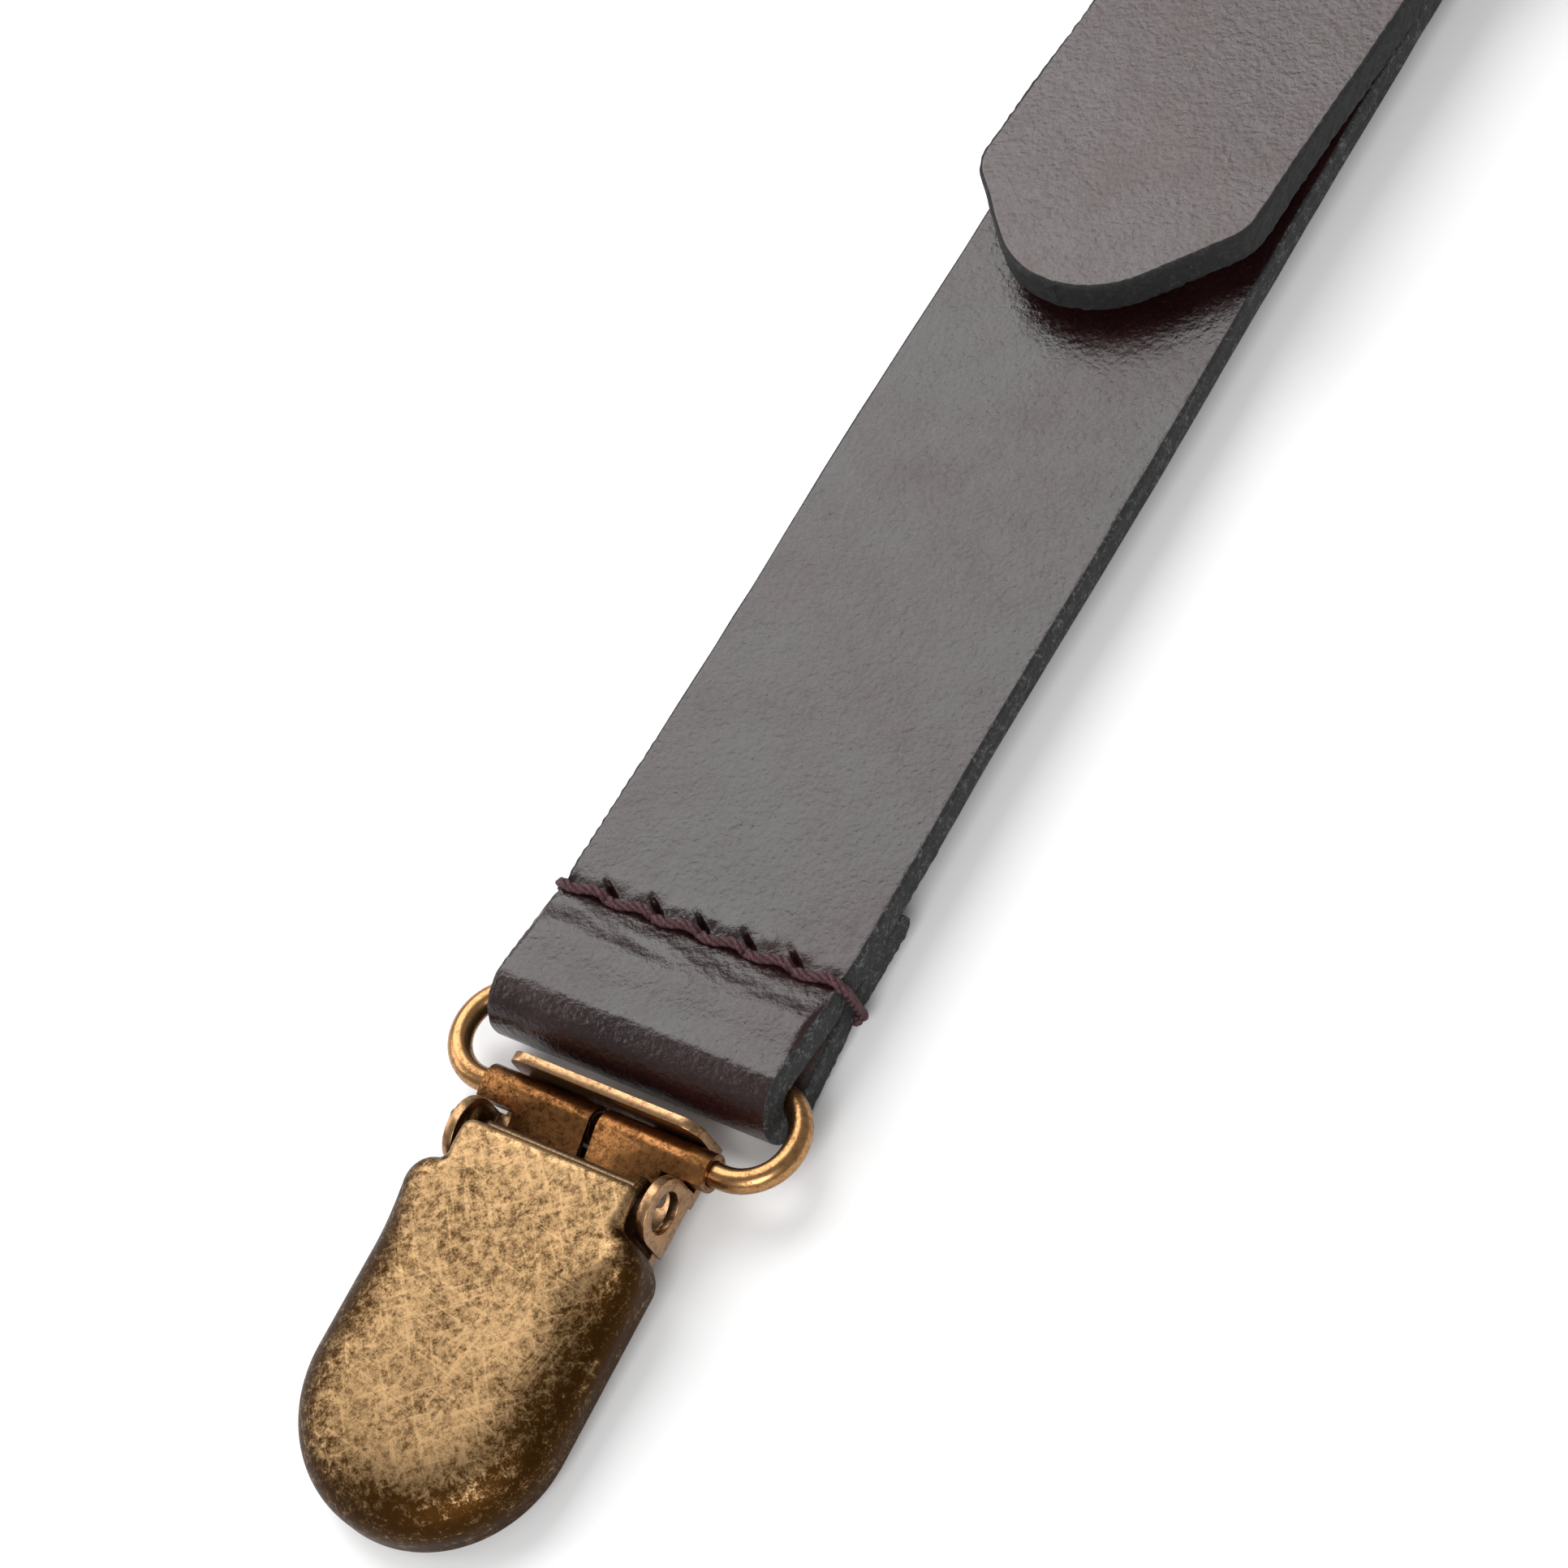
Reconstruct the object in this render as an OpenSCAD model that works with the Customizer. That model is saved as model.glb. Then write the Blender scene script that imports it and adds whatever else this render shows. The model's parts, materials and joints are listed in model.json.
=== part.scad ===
// Leather suspenders with a Y back, laid out flat: two front straps and one back strap meet
// at a riveted patch, and each of the three ends carries a spring-steel trouser clip.
// The table is z = 0. Every strap end has its own local frame: the origin is on the top face
// at the middle of the clip's stitch line, +Y runs along the strap towards the patch.

/* [Straps] */
// Width of every strap
strap_w = 25; // [20:0.5:31]
// Leather thickness of the lower front straps and of the back strap
lower_t = 2.5; // [2:0.1:3]
// Leather thickness of the shoulder straps
shoulder_t = 3; // [2.4:0.1:3.6]
// Front strap, from the clip's stitch line to its end inside the patch
front_len = 700; // [560:5:860]
// Back strap, from the clip's stitch line to its end inside the patch
back_len = 240; // [160:5:330]
// Lower strap, from the clip's stitch line to the buckle's heel bar
lower_len = 205; // [165:1:250]
// From the clip's stitch line to the tip of the shoulder strap's free end
tab_gap = 60; // [45:1:75]
// Sideways offset of the shoulder strap on the lower strap
tab_shift = 0.9; // [0:0.1:1.2]
// Angle between each front strap and the middle line
splay = 10; // [7:0.5:13]
// Length of leather folded under, past its stitch line
fold_len = 8.6; // [6:0.2:11]

/* [Stitching] */
// Stitches in one row across a strap
stitch_count = 6; // [4:1:8]
// Diameter of the waxed thread
thread_d = 0.7; // [0.5:0.05:0.9]
// Diameter of the awl holes
awl_d = 1.1; // [1.05:0.05:1.4]

/* [Ring] */
// Wire diameter of the clip's ring
wire_d = 1.9; // [1.5:0.1:2.3]
// Free space between a strap edge and the ring's end
ring_side_gap = 1.2; // [0.9:0.1:1.6]
// Distance between the ring's two long bars, centre to centre
ring_pitch = 7.7; // [7.2:0.1:9.4]
// From the stitch line to the ring's upper bar
loop_reach = 8.2; // [7:0.1:10]
// Gap between the two ends of the ring's wire
ring_end_gap = 4; // [3:0.2:5]

/* [Clip] */
// Sheet thickness of the back plate and the cover
sheet_t = 0.8; // [0.65:0.05:1]
// Sheet thickness of the sleeve that holds the ring
sleeve_t = 0.5; // [0.4:0.05:0.6]
// Width of the ring's sleeve
sleeve_w = 20; // [17:0.5:20.6]
// Width of the slit between the sleeve's two leaves
slit_w = 0.7; // [0.5:0.1:1]
// Outer width across the two ears
ear_span = 18; // [16.5:0.5:18.5]
// Radius of an ear's round top
ear_r = 2.65; // [2.5:0.05:2.8]
// Radius of the hole in an ear
ear_hole_r = 1.65; // [1.4:0.05:1.8]
// Width of the upright lip
lip_w = 17; // [15:0.5:18]
// Height of the lip above the ring's axis
lip_h = 2.7; // [2.3:0.1:2.9]
// Widest part of the cover
cover_w = 21; // [20:0.5:25]
// Cover, from its neck edge to its round tip
cover_len = 29.8; // [26:0.2:36]
// Height of the cover's top face above the ring's axis
cover_h = 5; // [4.8:0.1:5.4]
// Radius of the cover's rounded-over edge
cover_edge_r = 3.6; // [3:0.1:4.2]
// Diameter of the cover's pivot pin
pin_d = 1.2; // [1:0.05:1.4]
// Thickness of the jaw's plastic pad
pad_t = 1; // [0.8:0.1:1.2]

/* [Buckle] */
// Bar diameter of the buckle frame
bar_d = 2.6; // [2.2:0.1:3]
// Buckle frame, from heel bar to front bar
frame_len = 22; // [20:0.5:25]
// Diameter of the prong
prong_d = 1.8; // [1.5:0.1:2]
// From the buckle's stitch line to the heel bar
heel_reach = 9; // [8:0.1:11]
// Diameter of the adjustment holes
hole_d = 4.4; // [4:0.1:5.2]
// Spacing of the adjustment holes
hole_pitch = 25; // [21:1:30]
// Keeper's length along the strap
keeper_len = 11; // [9:0.5:13]
// Leather thickness of the keeper
keeper_t = 1.6; // [1.3:0.1:2]
// From the heel bar down to the middle of the keeper
keeper_drop = 87; // [75:1:92]

/* [Patch] */
// Thickness of each patch leaf
patch_t = 2; // [1.6:0.1:2.4]
// Half width of the patch
patch_half_w = 36; // [35:0.5:42]
// Lower end of the patch, below its middle
patch_down = 36; // [33:0.5:42]
// Upper end of the patch, above its middle
patch_up = 38; // [35:0.5:44]
// Diameter of a rivet's cap
rivet_cap_d = 7; // [6:0.5:8]
// Diameter of a rivet's post
rivet_post_d = 3; // [2.5:0.1:3.5]

/* [Hidden] */
$fn = 48;
// clearances
soft_gap = 0.3;
pin_gap = 0.05;
touch = 0.01;
// leather loops
wire_r = wire_d / 2;
bar_r = bar_d / 2;
clip_cavity_r = wire_r + soft_gap;
heel_cavity_r = bar_r + soft_gap;
clip_loop_r = clip_cavity_r + lower_t;
heel_loop_r = heel_cavity_r + lower_t;
half_w = strap_w / 2;
// height of the strap's top face above the table
strap_top = lower_t + max(clip_loop_r, heel_loop_r);
// ring
ring_end_r = ring_pitch / 2;
ring_straight = half_w + ring_side_gap + wire_r - ring_end_r;
mouth_step = half_w - ring_straight;
mouth_bend = ring_end_r - sqrt(pow(ring_end_r, 2) - pow(mouth_step, 2));
mouth_r = clip_cavity_r + mouth_bend;
mouth_len = 2.4;
sleeve_bore_r = wire_r + pin_gap;
sleeve_r = sleeve_bore_r + sleeve_t;
// clip frame: y = 0, z = 0 is the axis of the ring's lower bar
plate_bottom = -1;
plate_top = plate_bottom + sheet_t;
ear_front = -sleeve_r - 0.25;
ear_y = ear_front - ear_r;
ear_z = 1.8;
pin_r = pin_d / 2;
pin_lean = 54;
pin_shift = ear_hole_r - pin_r - pin_gap;
pin_y = ear_y + pin_shift * cos(pin_lean);
pin_z = ear_z + pin_shift * sin(pin_lean);
ear_in = ear_span / 2 - sheet_t;
neck_half = ear_in - 0.5;
neck_y = pin_y - 0.15;
shoulder_y = ear_y - ear_r - 0.35;
tip_y = neck_y - cover_len;
cover_half = cover_w / 2;
shoulder_r = cover_edge_r + 0.2;
cover_bottom = plate_top + soft_gap;
cover_inside = cover_h - sheet_t;
tab_r = pin_r + 1.1;
lip_y = sleeve_r + 0.15;
arm_top = -sleeve_r - 0.1;
arm_in = 3;
plate_half = cover_half - 1.9;
plate_tip = tip_y + 1.4;
pad_half = plate_half - 1.1;
pad_front = -12;
pad_tip = plate_tip + 1.5;
pad_top = plate_top + pad_t;
leaf_end = -9;
leaf_half = neck_half - sheet_t - soft_gap;
slit_end = -6;
sleeve_rivet_y = -7.6;
sleeve_rivet_x = 4.5;
// the clip's tip droops on its ring until it rests on the table
clip_drop = strap_top - lower_t;
tip_clear = 0.15;
droop = asin((clip_drop + plate_bottom - tip_clear) / -plate_tip);
// buckle
heel_y = lower_len;
heel_stitch = lower_len - heel_reach;
tab_low = soft_gap;
bar_rise = lower_t + bar_r + soft_gap;
frame_tilt = asin(bar_rise / frame_len);
frame_half = half_w + tab_shift + 0.6 + bar_r;
front_bar_y = heel_y + frame_len * cos(frame_tilt);
front_bar_z = bar_rise - lower_t;
front_corner_r = 3.5;
eye_bore_r = bar_r + 0.08;
eye_r = eye_bore_r + 0.9;
eye_half = 1.4;
prong_r = prong_d / 2;
prong_low = -lower_t + eye_bore_r + prong_r + 0.1;
bar_rise_seen = front_bar_z - prong_low;
bar_away = norm([frame_len * cos(frame_tilt), bar_rise_seen]);
prong_slope = asin(bar_rise_seen / bar_away) + asin((bar_r + prong_r + pin_gap) / bar_away);
prong_reach = frame_len + 1.6;
prong_slot_half = eye_half + 0.8;
// the shoulder strap climbs over the heel and dives under the front bar
rise_start = heel_y - 18;
rise_end = heel_y - 2;
dive_start = heel_y + 1.5;
dive_end = front_bar_y - 5.5;
mid_tab = tab_low + shoulder_t / 2;
mid_top = heel_loop_r - lower_t + soft_gap + shoulder_t / 2;
mid_run = -shoulder_t / 2;
prong_hole_y = (dive_start + dive_end) / 2;
prong_hole_half = 4.6;
prong_hole_r = prong_r + 0.5;
hole_first = tab_gap + 54;
holes_below = floor((heel_y - 12 - hole_first) / hole_pitch);
holes_above = 2;
tab_nose_r = 9;
tab_corner = 9.5;
keeper_y = heel_y - keeper_drop;
keeper_gap = 0.4;
// patch
strap_inset = 3;
front_end_x = half_w * cos(splay) + tab_shift + 0.6;
patch_side_r = 90;
patch_cap_r = 60;
patch_waist = -12;
rivet_near = 9;
rivet_far = 24;
rivet_r = rivet_post_d / 2;
rivet_cap_r = rivet_cap_d / 2;
rivet_cap_h = 0.8;
rivet_foot_h = 0.6;
// the whole piece is centred on the origin
clip_reach = loop_reach + ring_pitch - tip_y * cos(droop) + cover_bottom * sin(droop);
front_reach = (clip_reach - cover_half) * cos(splay) + cover_half;
y_low = -strap_inset - front_len * cos(splay) - front_reach;
y_high = strap_inset + back_len + clip_reach;
patch_y = -(y_low + y_high) / 2;
stitch_x = front_end_x + front_len * sin(splay);
stitch_y = patch_y - strap_inset - front_len * cos(splay);
back_stitch_y = patch_y + strap_inset + back_len;

// ---- places ----

module on_left() {
    translate([-stitch_x, stitch_y, strap_top]) rotate([0, 0, -splay]) children();
}

module on_right() {
    mirror([1, 0, 0]) on_left() children();
}

module on_back() {
    translate([0, back_stitch_y, strap_top]) rotate([0, 0, 180]) children();
}

// the clip's own frame, drooping about the ring's lower bar
module in_clip() {
    translate([0, -loop_reach - ring_pitch, -lower_t]) rotate([droop, 0, 0]) children();
}

// a side view, drawn as (y, z), made w wide and centred on x = 0
module across(w) {
    translate([-w / 2, 0, 0]) rotate([90, 0, 90]) linear_extrude(height = w) children();
}

// a round bar along X
module cross_bar(r, w) {
    translate([-w / 2, 0, 0]) rotate([0, 90, 0]) cylinder(r = r, h = w);
}

// a round rod from the origin along Z, with ball ends
module ball_rod(r, h) {
    rotate_extrude()
    intersection() {
        union() {
            circle(r = r);
            square([r, h]);
            translate([0, h]) circle(r = r);
        }
        translate([0, -r]) square([r, h + 2 * r]);
    }
}

// a box given by its low and high corners
module block(low, high) {
    translate(low) cube(high - low);
}

// ---- leather ----

// where the upper tangent from point p touches a circle of radius r about c
function touch_point(p, c, r) =
    let (d = norm(p - c))
    let (a = atan2(p[1] - c[1], p[0] - c[0]) + acos(r / d))
    c + r * [cos(a), sin(a)];

// side view of a loop: its bar is at (-reach, -lower_t) and its layers meet at y = 0
module loop_outside(reach, r) {
    c = [-reach, -lower_t];
    p = touch_point([0, 0], c, r);
    translate(c) circle(r = r);
    polygon([[touch, 0], p, c, [p[0], -2 * lower_t - p[1]], [touch, -2 * lower_t]]);
}

module loop_inside(reach, r) {
    c = [-reach, -lower_t];
    nip = [-reach * 0.3, -lower_t];
    p = touch_point(nip, c, r);
    translate(c) circle(r = r);
    polygon([nip, p, c, [p[0], -2 * lower_t - p[1]]]);
}

module clip_loop_outside() {
    loop_outside(loop_reach, clip_loop_r);
    translate([0, -2 * lower_t]) square([fold_len, 2 * lower_t]);
}

module heel_loop_outside() {
    translate([heel_stitch, 0]) mirror([1, 0]) loop_outside(heel_reach, heel_loop_r);
    translate([heel_stitch - fold_len, -2 * lower_t]) square([fold_len, 2 * lower_t]);
}

module heel_loop_inside() {
    translate([heel_stitch, 0]) mirror([1, 0]) loop_inside(heel_reach, heel_cavity_r);
}

// the loop's two mouths are pressed open where the ring starts to bend
module loop_mouths() {
    for (side = [0, 1])
        mirror([side, 0, 0])
            translate([half_w - mouth_len, -loop_reach, -lower_t])
                rotate([0, 90, 0])
                    cylinder(r1 = clip_cavity_r, r2 = mouth_r, h = mouth_len + touch);
}

function stitch_x_at(i) = -half_w + i * strap_w / stitch_count;

module awl_holes(y) {
    for (i = [1 : stitch_count - 1])
        translate([stitch_x_at(i), y, -2 * lower_t - 1]) cylinder(d = awl_d, h = 2 * lower_t + 2);
}

module lower_strap() {
    color([0.24, 0.13, 0.12])
    difference() {
        across(strap_w) {
            clip_loop_outside();
            translate([0, -lower_t]) square([heel_stitch, lower_t]);
            heel_loop_outside();
        }
        across(strap_w + 2) {
            loop_inside(loop_reach, clip_cavity_r);
            heel_loop_inside();
        }
        loop_mouths();
        block([-prong_slot_half, heel_y - eye_r - 2, -3 * lower_t],
            [prong_slot_half, heel_y + 2 * heel_loop_r, 3 * lower_t]);
        awl_holes(0);
        awl_holes(heel_stitch);
    }
}

module back_strap_body() {
    color([0.24, 0.13, 0.12])
    difference() {
        across(strap_w) {
            clip_loop_outside();
            translate([0, -lower_t]) square([back_len, lower_t]);
        }
        across(strap_w + 2) loop_inside(loop_reach, clip_cavity_r);
        loop_mouths();
        awl_holes(0);
        for (d = [rivet_near, rivet_far])
            translate([0, back_len - d, -lower_t - 1]) cylinder(r = rivet_r + pin_gap, h = lower_t + 2);
    }
}

// one row of thread: over the top, under the fold, through the holes and round both edges
module stitch_row(y) {
    r = thread_d / 2;
    top = r + pin_gap;
    low = -2 * lower_t - r - pin_gap;
    edge = half_w + r + pin_gap;
    color([0.28, 0.14, 0.15])
    translate([0, y, 0]) {
        for (z = [top, low])
            translate([0, 0, z]) cross_bar(r, 2 * edge);
        for (i = [1 : stitch_count - 1])
            translate([stitch_x_at(i), 0, low]) cylinder(r = r, h = top - low);
        for (x = [-edge, edge]) {
            translate([x, 0, low]) cylinder(r = r, h = top - low);
            translate([x, 0, low]) sphere(r = r);
            translate([x, 0, top]) sphere(r = r);
        }
    }
}

// smooth step from 0 to 1 as v goes from a to b
function ease(a, b, v) =
    let (s = min(1, max(0, (v - a) / (b - a))))
    s * s * (3 - 2 * s);

// height of the shoulder strap's middle surface at y
function strap_mid(y) =
    mid_tab + (mid_top - mid_tab) * ease(rise_start, rise_end, y)
    + (mid_run - mid_top) * ease(dive_start, dive_end, y);

// plan of the shoulder strap, its rounded point drawn in short steps
module shoulder_plan() {
    steps = 8;
    c = [0, tab_gap + tab_nose_r];
    corner_y = tab_gap + tab_corner;
    a = touch_point([-half_w, corner_y], c, tab_nose_r);
    turn = atan2(-a[0], c[1] - a[1]) / steps;
    nose = [for (i = [-steps : steps]) c + tab_nose_r * [sin(i * turn), -cos(i * turn)]];
    polygon(concat([[-half_w, front_len], [-half_w, corner_y]], nose,
        [[half_w, corner_y], [half_w, front_len]]));
}

module shoulder_strap() {
    ys = concat([tab_gap - 1], [for (y = [rise_start : 1 : dive_end + 1]) y], [front_len]);
    above = [for (y = ys) [y, strap_mid(y) + shoulder_t / 2]];
    below = [for (i = [len(ys) - 1 : -1 : 0]) [ys[i], strap_mid(ys[i]) - shoulder_t / 2]];
    deep = 4 * lower_t;
    color([0.24, 0.13, 0.12])
    translate([tab_shift, 0, 0])
    difference() {
        intersection() {
            across(strap_w) polygon(concat(above, below));
            translate([0, 0, -deep]) linear_extrude(height = 2 * deep) shoulder_plan();
        }
        for (i = [0 : holes_below])
            translate([0, hole_first + i * hole_pitch, -deep]) cylinder(d = hole_d, h = 2 * deep);
        for (i = [1 : holes_above])
            translate([0, prong_hole_y + i * hole_pitch, -deep]) cylinder(d = hole_d, h = 2 * deep);
        translate([-tab_shift, 0, 0]) prong_hole();
        for (d = [rivet_near, rivet_far])
            translate([-tab_shift, front_len - d, -deep])
                cylinder(r = rivet_r + pin_gap, h = 2 * deep);
    }
}

// the hole the prong is in, pulled long by it
module prong_hole() {
    deep = 4 * lower_t;
    for (y = [-prong_hole_half, prong_hole_half])
        translate([0, prong_hole_y + y, -deep]) cylinder(r = prong_hole_r, h = 2 * deep);
    block([-prong_hole_r, prong_hole_y - prong_hole_half, -deep],
        [prong_hole_r, prong_hole_y + prong_hole_half, deep]);
}

module keeper() {
    low = [-half_w - keeper_gap, -lower_t - keeper_gap];
    high = [half_w + tab_shift + keeper_gap, tab_low + shoulder_t + keeper_gap];
    color([0.22, 0.12, 0.11])
    translate([0, keeper_y + keeper_len / 2, 0])
    rotate([90, 0, 0])
    linear_extrude(height = keeper_len)
    difference() {
        union() {
            for (x = [low[0], high[0]])
                for (z = [low[1], high[1]])
                    translate([x, z]) circle(r = keeper_t);
            translate([low[0] - keeper_t, low[1]])
                square([high[0] - low[0] + 2 * keeper_t, high[1] - low[1]]);
            translate([low[0], low[1] - keeper_t])
                square([high[0] - low[0], high[1] - low[1] + 2 * keeper_t]);
        }
        translate(low) square(high - low);
    }
}

// ---- buckle ----

module buckle_frame_body() {
    side_len = frame_len - front_corner_r;
    color([0.62, 0.5, 0.33])
    translate([0, heel_y, -lower_t])
    rotate([frame_tilt, 0, 0]) {
        cross_bar(bar_r, 2 * frame_half);
        for (side = [-1, 1])
            translate([side * frame_half, 0, 0]) {
                sphere(r = bar_r);
                rotate([-90, 0, 0]) cylinder(r = bar_r, h = side_len);
            }
        translate([0, frame_len, 0]) cross_bar(bar_r, 2 * (frame_half - front_corner_r));
        for (side = [0, 1])
            mirror([side, 0, 0])
                translate([frame_half - front_corner_r, side_len, 0])
                    rotate_extrude(angle = 90) translate([front_corner_r, 0]) circle(r = bar_r);
    }
}

module prong() {
    color([0.62, 0.5, 0.33])
    difference() {
        union() {
            translate([0, heel_y, -lower_t]) cross_bar(eye_r, 2 * eye_half);
            translate([0, heel_y, prong_low])
                rotate([prong_slope - 90, 0, 0]) ball_rod(prong_r, prong_reach);
        }
        translate([0, heel_y, -lower_t]) cross_bar(eye_bore_r, 4 * eye_half);
    }
}

// ---- clip ----

// flat oval of wire whose two ends stop short of each other inside the sleeve
module ring() {
    color([0.66, 0.52, 0.33])
    translate([0, -loop_reach - ring_pitch / 2, -lower_t]) {
        translate([0, ring_end_r, 0]) cross_bar(wire_r, 2 * ring_straight);
        for (side = [0, 1])
            mirror([side, 0, 0]) {
                translate([ring_straight, 0, 0])
                    rotate([0, 0, -90])
                        rotate_extrude(angle = 180) translate([ring_end_r, 0]) circle(r = wire_r);
                translate([ring_end_gap / 2, -ring_end_r, 0])
                    rotate([0, 90, 0]) cylinder(r = wire_r, h = ring_straight - ring_end_gap / 2);
            }
    }
}

// sheet rolled round the ring's bar and run down on to the back plate, in two leaves
module ring_sleeve() {
    lean = 110;
    a = sleeve_bore_r * [cos(lean), sin(lean)];
    b = sleeve_r * [cos(lean), sin(lean)];
    slope = lean - 90;
    under = a[0] - (a[1] - plate_top) / tan(slope);
    over = b[0] - (b[1] - plate_top - sleeve_t) / tan(slope);
    color([0.6, 0.47, 0.3])
    in_clip()
    difference() {
        across(sleeve_w) {
            circle(r = sleeve_r);
            polygon([a, b, [over, plate_top + sleeve_t], [leaf_end, plate_top + sleeve_t],
                [leaf_end, plate_top], [under, plate_top]]);
        }
        cross_bar(sleeve_bore_r, sleeve_w + 2);
        block([-slit_w / 2, slit_end, -5], [slit_w / 2, 5, 5]);
        for (side = [0, 1])
            mirror([side, 0, 0])
                block([leaf_half, leaf_end - 1, -5], [sleeve_w, -sleeve_r, 5]);
        sleeve_rivet_holes();
    }
}

module sleeve_rivet_holes() {
    for (x = [-sleeve_rivet_x, sleeve_rivet_x])
        translate([x, sleeve_rivet_y, -3]) cylinder(r = 0.65, h = 6);
}

module sleeve_rivets() {
    color([0.5, 0.4, 0.27])
    in_clip()
    for (x = [-sleeve_rivet_x, sleeve_rivet_x])
        translate([x, sleeve_rivet_y, 0]) {
            translate([0, 0, plate_bottom - 0.3]) cylinder(r = 1.1, h = 0.3);
            translate([0, 0, plate_bottom - 0.1])
                cylinder(r = 0.6, h = sheet_t + sleeve_t + 0.2);
            translate([0, 0, plate_top + sleeve_t]) cylinder(r = 1.1, h = 0.4);
        }
}

// plan of a plate with straight sides and a round end
module u_plan(half, front, tip) {
    translate([0, tip + half]) circle(r = half);
    translate([-half, tip + half]) square([2 * half, front - tip - half]);
}

// back plate with its two ears, its lip and the arms that carry the lip past the sleeve
module back_plate() {
    arm_low = arm_top - sheet_t;
    lip_back = lip_y + sheet_t;
    corner_r = 1.6;
    color([0.6, 0.47, 0.3])
    in_clip()
    difference() {
        union() {
            translate([0, 0, plate_bottom]) linear_extrude(height = sheet_t)
                u_plan(plate_half, ear_front, plate_tip);
            block([-ear_span / 2, ear_y - ear_r, plate_bottom],
                [ear_span / 2, ear_front, plate_top]);
            for (side = [0, 1])
                mirror([side, 0, 0]) {
                    translate([ear_in + sheet_t / 2, 0, 0]) across(sheet_t) {
                        translate([ear_y, ear_z]) circle(r = ear_r);
                        translate([ear_y - ear_r, plate_bottom])
                            square([2 * ear_r, ear_z - plate_bottom]);
                    }
                    block([arm_in, ear_front - sheet_t, arm_low],
                        [lip_w / 2, ear_front, plate_top]);
                    block([arm_in, ear_front - sheet_t, arm_low], [lip_w / 2, lip_back, arm_top]);
                }
            block([-lip_w / 2, lip_y, -1], [lip_w / 2, lip_back, lip_h - corner_r]);
            block([-lip_w / 2 + corner_r, lip_y, -1], [lip_w / 2 - corner_r, lip_back, lip_h]);
            for (side = [0, 1])
                mirror([side, 0, 0]) {
                    block([arm_in, lip_y, arm_low], [lip_w / 2, lip_back, 0]);
                    translate([lip_w / 2 - corner_r, lip_back, lip_h - corner_r])
                        rotate([90, 0, 0]) cylinder(r = corner_r, h = sheet_t);
                }
        }
        translate([0, ear_y, ear_z]) cross_bar(ear_hole_r, ear_span + 2);
        sleeve_rivet_holes();
    }
}

// ribbed plastic pad that the cloth is pressed against
module jaw_pad() {
    rib_pitch = 3;
    color([0.12, 0.11, 0.1])
    in_clip()
    difference() {
        translate([0, 0, plate_top]) linear_extrude(height = pad_t)
            u_plan(pad_half, pad_front, pad_tip);
        for (y = [pad_front - rib_pitch : -rib_pitch : pad_tip + 2])
            translate([0, y, pad_top + 0.2]) cross_bar(0.5, 2 * pad_half + 2);
    }
}

// thin slice of the cover's plan: a round tip and two round shoulders, shrunk by inset
module dome_slice(inset, z) {
    slice = 0.01;
    places = [[0, tip_y + cover_half, cover_half],
        [cover_half - shoulder_r, shoulder_y - shoulder_r, shoulder_r],
        [shoulder_r - cover_half, shoulder_y - shoulder_r, shoulder_r]];
    for (p = places)
        translate([p[0], p[1], z - slice]) cylinder(r = p[2] - inset, h = slice, $fn = 40);
}

// a domed tray with a rounded-over edge, smaller by inset all round
module dome(inset, low) {
    r = cover_edge_r - inset;
    top = cover_h - inset;
    hull() {
        translate([0, 0, low - top + r]) dome_slice(inset, top - r);
        for (a = [0 : 18 : 90])
            dome_slice(inset + r * (1 - cos(a)), top - r + r * sin(a));
    }
}

module cover() {
    bite_y = (pad_front + pad_tip) / 2 - 2;
    web_back = pin_y - tab_r;
    color([0.72, 0.58, 0.38])
    in_clip()
    difference() {
        union() {
            difference() {
                dome(0, cover_bottom);
                dome(sheet_t, cover_bottom - 1);
                block([-neck_half + sheet_t, shoulder_y - shoulder_r - 1, cover_bottom - 1],
                    [neck_half - sheet_t, shoulder_y + 1, cover_inside]);
            }
            block([-neck_half, shoulder_y - shoulder_r, cover_inside], [neck_half, neck_y, cover_h]);
            for (side = [0, 1])
                mirror([side, 0, 0])
                    translate([neck_half - sheet_t / 2, 0, 0]) across(sheet_t) {
                        translate([pin_y, pin_z]) circle(r = tab_r);
                        translate([web_back, pin_z])
                            square([neck_y - web_back, cover_inside - pin_z + touch]);
                    }
            block([-pad_half + 1, bite_y - 0.5, pad_top + soft_gap],
                [pad_half - 1, bite_y + 0.5, cover_inside + touch]);
        }
        translate([0, pin_y, pin_z]) cross_bar(pin_r + pin_gap, ear_span);
    }
}

// pin through the cover's two tabs, its round end standing out past one ear
module pivot_pin() {
    stand_out = 0.5;
    left_end = -ear_span / 2 - stand_out;
    right_end = ear_span / 2 - 0.3;
    color([0.6, 0.5, 0.36])
    in_clip()
    translate([left_end, pin_y, pin_z]) {
        rotate([0, 90, 0]) cylinder(r = pin_r, h = right_end - left_end);
        sphere(r = pin_r);
    }
}

// ---- patch ----

// a shield of four arcs: two long sides, a low edge and a high edge
module patch_plan() {
    intersection() {
        translate([patch_half_w - patch_side_r, patch_waist]) circle(r = patch_side_r);
        translate([patch_side_r - patch_half_w, patch_waist]) circle(r = patch_side_r);
        translate([0, patch_cap_r - patch_down]) circle(r = patch_cap_r);
        translate([0, patch_up - patch_cap_r]) circle(r = patch_cap_r);
    }
}

module at_rivets() {
    for (d = [rivet_near, rivet_far]) {
        on_left() translate([0, front_len - d, 0]) children();
        on_right() translate([0, front_len - d, 0]) children();
        on_back() translate([0, back_len - d, 0]) children();
    }
}

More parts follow.
